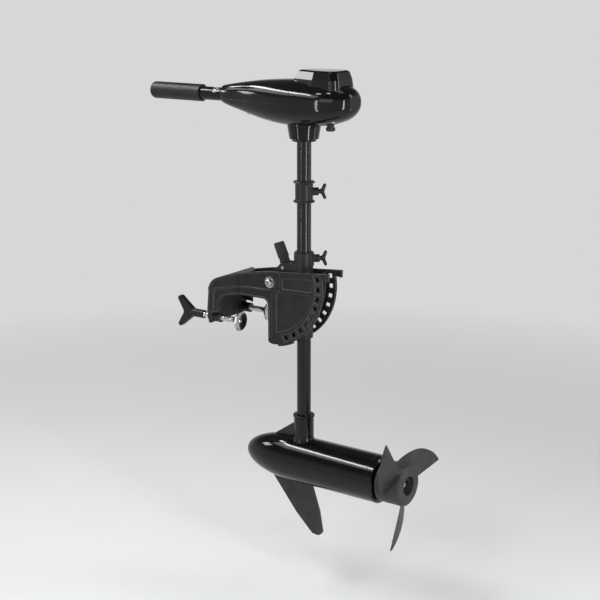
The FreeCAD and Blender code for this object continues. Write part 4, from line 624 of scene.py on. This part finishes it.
class MOTOR_OT_bracket(bpy.types.Operator):
    """Finishes the clamp bracket, its pivot bolt and the tilt lock."""
    bl_idname = "trolling_motor.bracket"
    bl_label = "Bracket"

    def execute(self, context):
        finishes = context.scene.motor_finishes
        fittings = context.scene.motor_fittings
        edge = finishes.edge_round
        # The bracket's edges get a strong painted highlight.
        nylon = moulded_nylon("bracket_nylon", finishes.bracket_colour, 0.46, edge, wear_and_highlight=16.0)
        smooth_nylon = moulded_nylon("carrier_nylon", (0.013, 0.0125, 0.0135), 0.36, edge)
        lever_nylon = moulded_nylon("lever_nylon", (0.016, 0.015, 0.0165), 0.42, edge=0.0009)
        plated = plated_steel("bright_plate", (0.50, 0.50, 0.52), 0.14)
        turned = plated_steel("turned_steel", (0.52, 0.52, 0.53), 0.24, stretch=(20.0, 260.0, 260.0))
        zinc = plated_steel("zinc_plate", (0.46, 0.46, 0.45), 0.34)
        brass = plated_steel("shoe_brass", (0.66, 0.47, 0.20), 0.25)
        blackened = plated_steel("blackened_steel", (0.045, 0.045, 0.048), 0.42)
        paint(nylon, "bracket_port_side", "bracket_starboard_side", "clamp_yoke", "transom_plate")
        paint(smooth_nylon, "tilt_carrier", "depth_collar")
        paint(lever_nylon, "tilt_lever")
        paint(plated, "pivot_bolt", "pivot_washers", "pivot_nut")
        paint(turned, "lever_pin", "lock_bar")
        paint(zinc, "lock_link")
        paint(brass, "tension_shoe", "collar_shoe")
        paint(blackened, "clamp_inserts")
        self.pivot(plated, fittings)
        chamfered_nut(
            "pivot_lock_nut", "pivot_nut", (0, 1, 0), fittings.nut_bore, plated, "bracket")
        return {"FINISHED"}

    def pivot(self, material, fittings):
        """Button-headed pivot bolt with a hexagon socket."""
        low, high = box_of("pivot_bolt")
        length = high.y - low.y
        head = (high.x - low.x) / 2
        deep, shank, socket = fittings.bolt_head, fittings.bolt_radius, fittings.bolt_socket
        point = 0.001
        start = Vector(((low.x + high.x) / 2, low.y, (low.z + high.z) / 2))

        def build(shape):
            lathe(shape, [
                (deep * 0.55, 0.0), (deep * 0.55, socket, 6), (deep * 0.04, socket, 6),
                (0.0, socket * 1.12), (0.0, head * 0.70), (deep * 0.10, head * 0.84),
                (deep * 0.32, head * 0.96), (deep * 0.60, head), (deep, head), (deep, shank),
                (length - point, shank), (length, shank - point), (length, 0.0),
            ], start, (0, 1, 0), WIDE_STEPS)

        mesh = mesh_from("pivot_socket_bolt", build, math.radians(28))
        new_piece("pivot_socket_bolt", mesh, material, "bracket", ("pivot_bolt",))


class MOTOR_OT_clamps(bpy.types.Operator):
    """Finishes the clamps and small wing screws, and cuts the thread of each clamp screw."""
    bl_idname = "trolling_motor.clamps"
    bl_label = "Clamp screws"

    def execute(self, context):
        fittings = context.scene.motor_fittings
        plated = plated_steel("clamp_plate", (0.52, 0.52, 0.54), 0.10)
        # Both knob finishes paint a highlight along their edges.
        knob_nylon = moulded_nylon(
            "clamp_knob_nylon", (0.010, 0.009, 0.010), 0.42, edge=0.0012, wear_and_highlight=16.0)
        small_knob = moulded_nylon(
            "wing_knob_nylon", (0.008, 0.007, 0.008), 0.40, edge=0.0007, wear_and_highlight=9.0)
        for word in ("port", "starboard"):
            paint(plated, f"clamp_pad_{word}", f"clamp_screw_{word}")
            paint(knob_nylon, f"clamp_knob_{word}")
            self.pad(word, plated)
            self.screw(word, plated, fittings)
        for word in ("collar", "tension"):
            paint(small_knob, f"{word}_knob")
            self.wings(word, small_knob, fittings)
        return {"FINISHED"}

    def wings(self, word, material, fittings):
        """Bow-tie wings moulded round a hub, on the screw that presses a shoe."""
        node = f"{word}_knob"
        turn = fittings.wing_bearing
        out = Vector((math.cos(turn), math.sin(turn), 0.0))
        side = Vector((-math.sin(turn), math.cos(turn), 0.0))
        low, high = box_of(node)
        foot = Vector((SHAFT_PLACE, 0.0, (low.z + high.z) / 2))
        reaches = [(vertex.co - foot).dot(out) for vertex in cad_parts[node].data.vertices]
        tail, tip = min(reaches), max(reaches)
        half = (high.z - low.z) / 2
        thick, hub, stem = fittings.wing_thickness / 2, fittings.wing_hub, fittings.wing_stem
        start = tip - fittings.wing_length
        upper = [(start, hub), (start + WING_WAIST, hub * 1.12)]
        upper += [(tip - short, half * share) for short, share in WING_EDGE]
        outline = [(start, -hub)] + upper + [(along, -up) for along, up in upper[-2:0:-1]]
        middle = Vector(((start + tip) / 2, 0.0))

        def build(shape):
            rings = []
            for level, share in WING_LEVELS:
                ring = []
                for point in outline:
                    spot = middle + (Vector(point) - middle) * share
                    up = Vector((0, 0, spot.y))
                    ring.append(shape.verts.new(foot + out * spot.x + up + side * (level * thick)))
                rings.append(ring)
            for first, second in zip(rings, rings[1:]):
                corners = zip(first, first[1:] + first[:1], second[1:] + second[:1], second)
                for face in corners:
                    shape.faces.new(face)
            for ring in (rings[0], rings[-1]):
                shape.faces.new(ring)
            lathe(shape, [
                (tail, 0.0), (tail, stem * 0.86), (tail + 0.0006, stem), (start - 0.0030, stem),
                (start - 0.0030, hub * 0.90), (start - 0.0024, hub), (start + 0.0030, hub),
                (start + 0.0042, hub * 0.80), (start + 0.0042, 0.0),
            ], foot, out, STEM_STEPS)

        piece = f"{word}_bow_tie_knob"
        mesh = mesh_from(piece, build, math.radians(32))
        new_piece(piece, mesh, material, f"{word}_screw", (node,))

    def pad(self, word, material):
        """Turned swivel pad: a dished face with a raised rim, and a hub crimped round the ball."""
        low, high = box_of(f"clamp_pad_{word}")
        outer = (high.y - low.y) / 2
        length = high.x - low.x
        mouth = outer * 0.20
        dish_floor, dish_rise = length - 0.0026, 0.0022
        dish = [(dish_floor + dish_rise * share ** 2, outer * (0.18 + 0.68 * share))
                for share in (0.15, 0.3, 0.45, 0.6, 0.75, 0.9, 1.0)]

        def build(shape):
            lathe(shape, [
                (length - 0.0009, 0.0), (length - 0.0012, outer * 0.10), (dish_floor, outer * 0.18),
                *dish, (length, outer * 0.90), (length - 0.0006, outer * 0.965),
                (length - 0.0016, outer), (length - 0.0026, outer * 0.985),
                (length - 0.0042, outer * 0.90), (length - 0.0050, outer * 0.62),
                (length - 0.0062, outer * 0.50), (0.0024, outer * 0.46), (0.0006, outer * 0.42),
                (0.0, outer * 0.36), (0.0, mouth * 1.2), (0.0008, mouth), (0.0030, 0.0),
            ], (low.x, (low.y + high.y) / 2, (low.z + high.z) / 2), (1, 0, 0), WIDE_STEPS)

        name = f"dished_clamp_pad_{word}"
        mesh = mesh_from(name, build, math.radians(40))
        new_piece(name, mesh, material, f"pad_{word}", (f"clamp_pad_{word}",))

    def screw(self, word, material, fittings):
        """Threaded rod that ends in the ball its pad swivels on."""
        low, high = box_of(f"clamp_screw_{word}")
        radius = (high.y - low.y) / 2
        ball, neck = fittings.ball_radius, fittings.ball_radius * 0.62
        centre = high.x - low.x - ball
        shoulder = centre - ball - fittings.neck_length
        start, end = fittings.thread_start, shoulder - fittings.thread_runout
        pitch, depth = fittings.thread_pitch, fittings.thread_depth
        bevel, shoulder_bevel = 0.0007, 0.0015
        rings = int((end - start) / pitch * THREAD_RINGS)
        swing = math.pi - math.asin(neck / ball)

        def thread(along, angle):
            """Depth of the groove: a V that fades in and out over one turn."""
            if not start < along < end:
                return 0.0
            turn = (along / pitch - angle / math.tau) % 1.0
            fade = min(1.0, (along - start) / pitch, (end - along) / pitch)
            return -depth * fade * (1 - abs(2 * turn - 1))

        def build(shape):
            profile = [(0.0, 0.0), (0.0, radius - bevel), (bevel, radius)]
            profile += [(start + (end - start) * ring / rings, radius) for ring in range(rings + 1)]
            profile += [(shoulder - shoulder_bevel, radius), (shoulder, neck)]
            for ring in range(BALL_RINGS + 1):
                angle = swing - swing * ring / BALL_RINGS
                profile.append((centre + ball * math.cos(angle), ball * math.sin(angle)))
            foot = (low.x, (low.y + high.y) / 2, (low.z + high.z) / 2)
            lathe(shape, profile, foot, (1, 0, 0), ROD_STEPS, thread)

        name = f"threaded_clamp_screw_{word}"
        mesh = mesh_from(name, build, math.radians(50))
        new_piece(name, mesh, material, f"screw_{word}", (f"clamp_screw_{word}",))


class MOTOR_OT_shaft(bpy.types.Operator):
    """Finishes the shaft tube, its liner and the head's neck."""
    bl_idname = "trolling_motor.shaft"
    bl_label = "Shaft"

    def execute(self, context):
        enamel = satin_enamel("shaft_enamel", (0.0065, 0.0065, 0.0070), stretch=(900.0, 900.0, 6.0))
        acetal = moulded_nylon("liner_acetal", (0.010, 0.010, 0.011), 0.32)
        cast = gloss_moulding("neck_paint", context.scene.motor_finishes.gloss_colour, 0.00004, coat=0.1)
        paint(enamel, "shaft_tube")
        paint(acetal, "shaft_liner", "handle_bush", "switch_spindle")
        paint(cast, "head_neck")
        return {"FINISHED"}


class MOTOR_OT_head(bpy.types.Operator):
    """Finishes the control head's mouldings and its speed switch, and adds its screws."""
    bl_idname = "trolling_motor.head"
    bl_label = "Control head"

    def execute(self, context):
        gloss = gloss_moulding("head_gloss", context.scene.motor_finishes.gloss_colour)
        switch = speckled("switch_phenolic", (0.07, 0.07, 0.075), 0.5)
        gland = soft_rubber("gland_rubber", (0.016, 0.016, 0.016), 0.5)
        steel = plated_steel("screw_steel", (0.42, 0.42, 0.43), 0.3)
        paint(gloss, "head_lower_housing", "head_upper_cover", "head_top_cap")
        paint(switch, "speed_switch")
        paint(gland, "cable_gland")
        places = [(aft, side) for aft, gap in HEAD_SCREW_PAIRS for side in (-gap, gap)]
        for number, (aft, side) in enumerate(places):
            spot, normal = surface_under("head_lower_housing", (aft, side, CAD_BOX[0][2]), (0, 0, 1))
            cross_screw(
                f"housing_screw_{number}", spot, normal, HEAD_SCREW_RADIUS, steel, "shaft")
        return {"FINISHED"}


class MOTOR_OT_handle(bpy.types.Operator):
    """Finishes the tiller tube and grip and prints the speed figures."""
    bl_idname = "trolling_motor.handle"
    bl_label = "Tiller"

    def execute(self, context):
        tube = gloss_moulding("tiller_moulding", (0.005, 0.005, 0.0055), 0.00002, coat=0.05)
        grip = soft_rubber("grip_rubber", (0.011, 0.0100, 0.0098), 0.38)
        ink = printed_ink("figure_ink", context.scene.motor_finishes.figure_colour)
        paint(tube, "handle_tube")
        paint(grip, "handle_grip")
        fittings = context.scene.motor_fittings
        low, high = box_of("handle_tube")
        radius = (high.z - low.z) / 2
        axis = Vector((high.x - fittings.figure_place, (low.y + high.y) / 2, (low.z + high.z) / 2))
        speeds = list(range(fittings.ahead, 0, -1)) + list(range(fittings.astern + 1))
        for number, speed in enumerate(speeds):
            turn = math.pi / 2 + (number - fittings.ahead) * fittings.figure_step
            self.figure(f"speed_figure_{number}", str(speed), turn, axis, radius, fittings, ink)
            self.tick(f"speed_tick_{number}", turn, axis, radius, fittings, ink)
        return {"FINISHED"}

    def figure(self, name, text, turn, axis, radius, fittings, ink):
        """One printed figure, wrapped round the tube."""
        curve = bpy.data.curves.new(name, "FONT")
        curve.body = text
        curve.align_x = "CENTER"
        curve.size = fittings.figure_height * LETTER_SHARE
        curve.extrude = INK_THICKNESS
        writing = bpy.data.objects.new(name + "_flat", curve)
        mesh = bpy.data.meshes.new_from_object(writing)
        bpy.data.objects.remove(writing)
        bpy.data.curves.remove(curve)
        for vertex in mesh.vertices:
            across, up, out = vertex.co
            angle = turn + across / radius
            reach = radius + INK_LIFT + out
            vertex.co = axis + Vector((up, reach * math.cos(angle), reach * math.sin(angle)))
        mesh.name = name
        mesh.materials.clear()
        new_piece(name, mesh, ink, "handle")

    def tick(self, name, turn, axis, radius, fittings, ink):
        """A short printed line between a figure and the head: a thin plate wrapped round the tube."""
        start = axis.x + fittings.figure_height + TICK_GAP

        def build(shape):
            rows = []
            for along in range(4):
                row = []
                for across in range(4):
                    angle = turn + TICK_HALF_WIDTH * (2 * across / 3 - 1) / radius
                    pair = []
                    for level in TICK_LEVELS:
                        reach = radius + level
                        pair.append(shape.verts.new((
                            start + TICK_LENGTH * along / 3,
                            axis.y + reach * math.cos(angle), axis.z + reach * math.sin(angle))))
                    row.append(pair)
                rows.append(row)
            for first, second in zip(rows, rows[1:]):
                for near, far, beyond, beside in zip(first, first[1:], second[1:], second):
                    for level in (0, 1):
                        shape.faces.new((near[level], far[level], beyond[level], beside[level]))
            border = rows[0] + [row[-1] for row in rows[1:]]
            border += rows[-1][-2::-1] + [row[0] for row in rows[-2:0:-1]]
            for here, there in zip(border, border[1:] + border[:1]):
                shape.faces.new((here[0], there[0], there[1], here[1]))

        new_piece(name, mesh_from(name, build), ink, "handle")


class MOTOR_OT_lower_unit(bpy.types.Operator):
    """Finishes the motor's painted housing, skeg and seals."""
    bl_idname = "trolling_motor.lower_unit"
    bl_label = "Lower unit"

    def execute(self, context):
        finishes = context.scene.motor_finishes
        cast = gloss_moulding("casting_paint", finishes.gloss_colour, 0.00005, edge=0.0016)
        fins = moulded_nylon("skeg_nylon", finishes.propeller_colour, 0.38, edge=0.0008)
        seal = soft_rubber("seal_rubber", (0.012, 0.012, 0.012), 0.45)
        paint(cast, "nose_cone", "motor_tube", "rear_end_bell")
        paint(fins, "skeg", "socket_fin")
        paint(seal, "shaft_seal", "ring_seals")
        return {"FINISHED"}


class MOTOR_OT_windings(bpy.types.Operator):
    """Finishes what the motor's housing holds: armature, magnets, brushes and bearings."""
    bl_idname = "trolling_motor.windings"
    bl_label = "Motor internals"

    def execute(self, context):
        ground = plated_steel("ground_steel", (0.60, 0.60, 0.62), 0.18, stretch=(30.0, 300.0, 300.0))
        paint(ground, "armature_shaft", "shaft_bearings", "through_bolts")
        paint(laminated_core("core_laminations", (0.20, 0.20, 0.21)), "armature_core")
        paint(wound_copper("copper_wire", (0.62, 0.26, 0.11)), "armature_windings")
        paint(plated_steel("commutator_copper", (0.70, 0.36, 0.20), 0.28), "commutator")
        paint(speckled("magnet_ferrite", (0.05, 0.05, 0.055), 0.55, metallic=0.2), "field_magnets")
        paint(speckled("brush_board", (0.14, 0.075, 0.035), 0.5), "brush_plate")
        paint(speckled("brush_carbon", (0.025, 0.025, 0.026), 0.45, metallic=0.1), "motor_brushes")
        return {"FINISHED"}


class MOTOR_OT_propeller(bpy.types.Operator):
    """Finishes the propeller and its fastenings."""
    bl_idname = "trolling_motor.propeller"
    bl_label = "Propeller"

    def execute(self, context):
        blades = moulded_nylon(
            "propeller_nylon", context.scene.motor_finishes.propeller_colour, 0.40, edge=0.0007)
        steel = plated_steel("propeller_steel", (0.66, 0.66, 0.68), 0.16)
        paint(blades, "propeller")
        paint(steel, "drive_pin", "propeller_washer", "propeller_nut")
        chamfered_nut(
            "propeller_lock_nut", "propeller_nut", (1, 0, 0), context.scene.motor_fittings.nut_bore,
            steel, "armature")
        return {"FINISHED"}


class MOTOR_OT_studio(bpy.types.Operator):
    """Sets the sky, the floor, the lamps and the camera."""
    bl_idname = "trolling_motor.studio"
    bl_label = "Studio"

    def execute(self, context):
        studio = context.scene.motor_studio
        self.sky(context.scene, studio)
        self.floor(studio)
        for name, place, size, share in SOFTBOXES:
            softbox(name, place, size, share * studio.lamp_power)
        self.camera(context.scene, studio)
        context.scene.view_settings.view_transform = "Standard"
        return {"FINISHED"}

    def sky(self, scene, studio):
        """Even light from all round, seen as a pale backdrop under a darker ceiling."""
        world = bpy.data.worlds.new("studio_sky")
        scene.world = world
        world.use_nodes = True
        tree = world.node_tree
        sky = tree.nodes["Background"]
        sky.inputs["Color"].default_value = (*studio.sky_colour, 1.0)
        sky.inputs["Strength"].default_value = studio.sky_strength
        split = tree.nodes.new("ShaderNodeSeparateXYZ")
        tree.links.new(tree.nodes.new("ShaderNodeTexCoord").outputs["Generated"], split.inputs[0])
        ceiling = tree.nodes.new("ShaderNodeMapRange")
        ceiling.interpolation_type = "SMOOTHSTEP"
        ceiling.inputs["From Min"].default_value = HORIZON_RISE
        ceiling.inputs["From Max"].default_value = CEILING_RISE
        ceiling.inputs["To Min"].default_value = studio.backdrop_level
        ceiling.inputs["To Max"].default_value = studio.ceiling_level
        tree.links.new(split.outputs["Z"], ceiling.inputs["Value"])
        shown_white(
            tree, sky.outputs[0], tree.nodes["World Output"].inputs["Surface"],
            "ShaderNodeBackground", studio.backdrop_level, level=ceiling.outputs["Result"])

    def floor(self, studio):
        """Painted floor that turns into the backdrop away from the motor."""
        drop = CAD_BOX[0][2] - studio.floor_gap

        def build(shape):
            bmesh.ops.create_grid(shape, x_segments=8, y_segments=8, size=FLOOR_REACH)
            bmesh.ops.translate(shape, verts=shape.verts, vec=(0, 0, drop))

        mesh = mesh_from("studio_floor", build)
        floor = bpy.data.objects.new("studio_floor", mesh)
        bpy.context.scene.collection.objects.link(floor)
        finish = Finish("studio_floor_paint", studio.floor_colour, 0.7, specular=0.1)
        finish.mottle(finish.noise(scale=1.2, detail=3.0), lighter(studio.floor_colour, 1.0285))
        distance = finish.node("ShaderNodeVectorMath", operation="LENGTH")
        finish.link(finish.place, distance.inputs[0])
        far = finish.between(distance.outputs["Value"], 0.0, 1.0, FLOOR_NEAR, FLOOR_FAR)
        surface = finish.tree.nodes["Material Output"].inputs["Surface"]
        shown_white(
            finish.tree, finish.shader.outputs[0], surface, "ShaderNodeEmission",
            studio.backdrop_level, share=far)
        mesh.materials.append(finish.finish())

    def camera(self, scene, studio):
        """Stands the camera off by its bearing, height and distance."""
        azimuth, elevation = studio.azimuth, studio.elevation
        back = Vector((math.cos(elevation) * math.sin(azimuth), -math.cos(elevation) * math.cos(azimuth),
                       math.sin(elevation)))
        right = Vector((math.cos(azimuth), math.sin(azimuth), 0.0))
        lens = bpy.data.cameras.new("studio_camera")
        lens.lens = studio.lens
        camera = bpy.data.objects.new("studio_camera", lens)
        scene.collection.objects.link(camera)
        camera.location = Vector(studio.aim) + back * studio.distance - right * studio.side_step
        camera.rotation_euler = back.to_track_quat("Z", "Y").to_euler()
        scene.camera = camera


class MOTOR_PT_dressing(bpy.types.Panel):
    """Lists the motor's pieces and the studio."""
    bl_label = "Trolling motor"
    bl_idname = "MOTOR_PT_dressing"
    bl_space_type = "VIEW_3D"
    bl_region_type = "UI"
    bl_category = "Trolling Motor"

    def draw(self, context):
        column = self.layout.column(align=True)
        for operator in OPERATORS:
            column.operator(operator.bl_idname)
        for group in ("motor_finishes", "motor_fittings", "motor_studio"):
            settings = getattr(context.scene, group)
            box = self.layout.box()
            for name in settings.__annotations__:
                box.prop(settings, name)


OPERATORS = (
    MOTOR_OT_studio, MOTOR_OT_bracket, MOTOR_OT_clamps, MOTOR_OT_shaft, MOTOR_OT_head,
    MOTOR_OT_handle, MOTOR_OT_lower_unit, MOTOR_OT_windings, MOTOR_OT_propeller,
)
SETTINGS = (MotorFinishes, MotorFittings, MotorStudio)


def register():
    """Registers the classes and hangs their settings on the scene."""
    for kind in SETTINGS + OPERATORS + (MOTOR_PT_dressing,):
        bpy.utils.register_class(kind)
    bpy.types.Scene.motor_finishes = PointerProperty(type=MotorFinishes)
    bpy.types.Scene.motor_fittings = PointerProperty(type=MotorFittings)
    bpy.types.Scene.motor_studio = PointerProperty(type=MotorStudio)


def unregister():
    """Takes the settings and the classes away again."""
    del bpy.types.Scene.motor_studio
    del bpy.types.Scene.motor_fittings
    del bpy.types.Scene.motor_finishes
    for kind in reversed(SETTINGS + OPERATORS + (MOTOR_PT_dressing,)):
        bpy.utils.unregister_class(kind)


def main():
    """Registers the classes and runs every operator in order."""
    register()
    for operator in OPERATORS:
        family, action = operator.bl_idname.split(".")
        getattr(getattr(bpy.ops, family), action)()


if __name__ == "__main__":
    main()
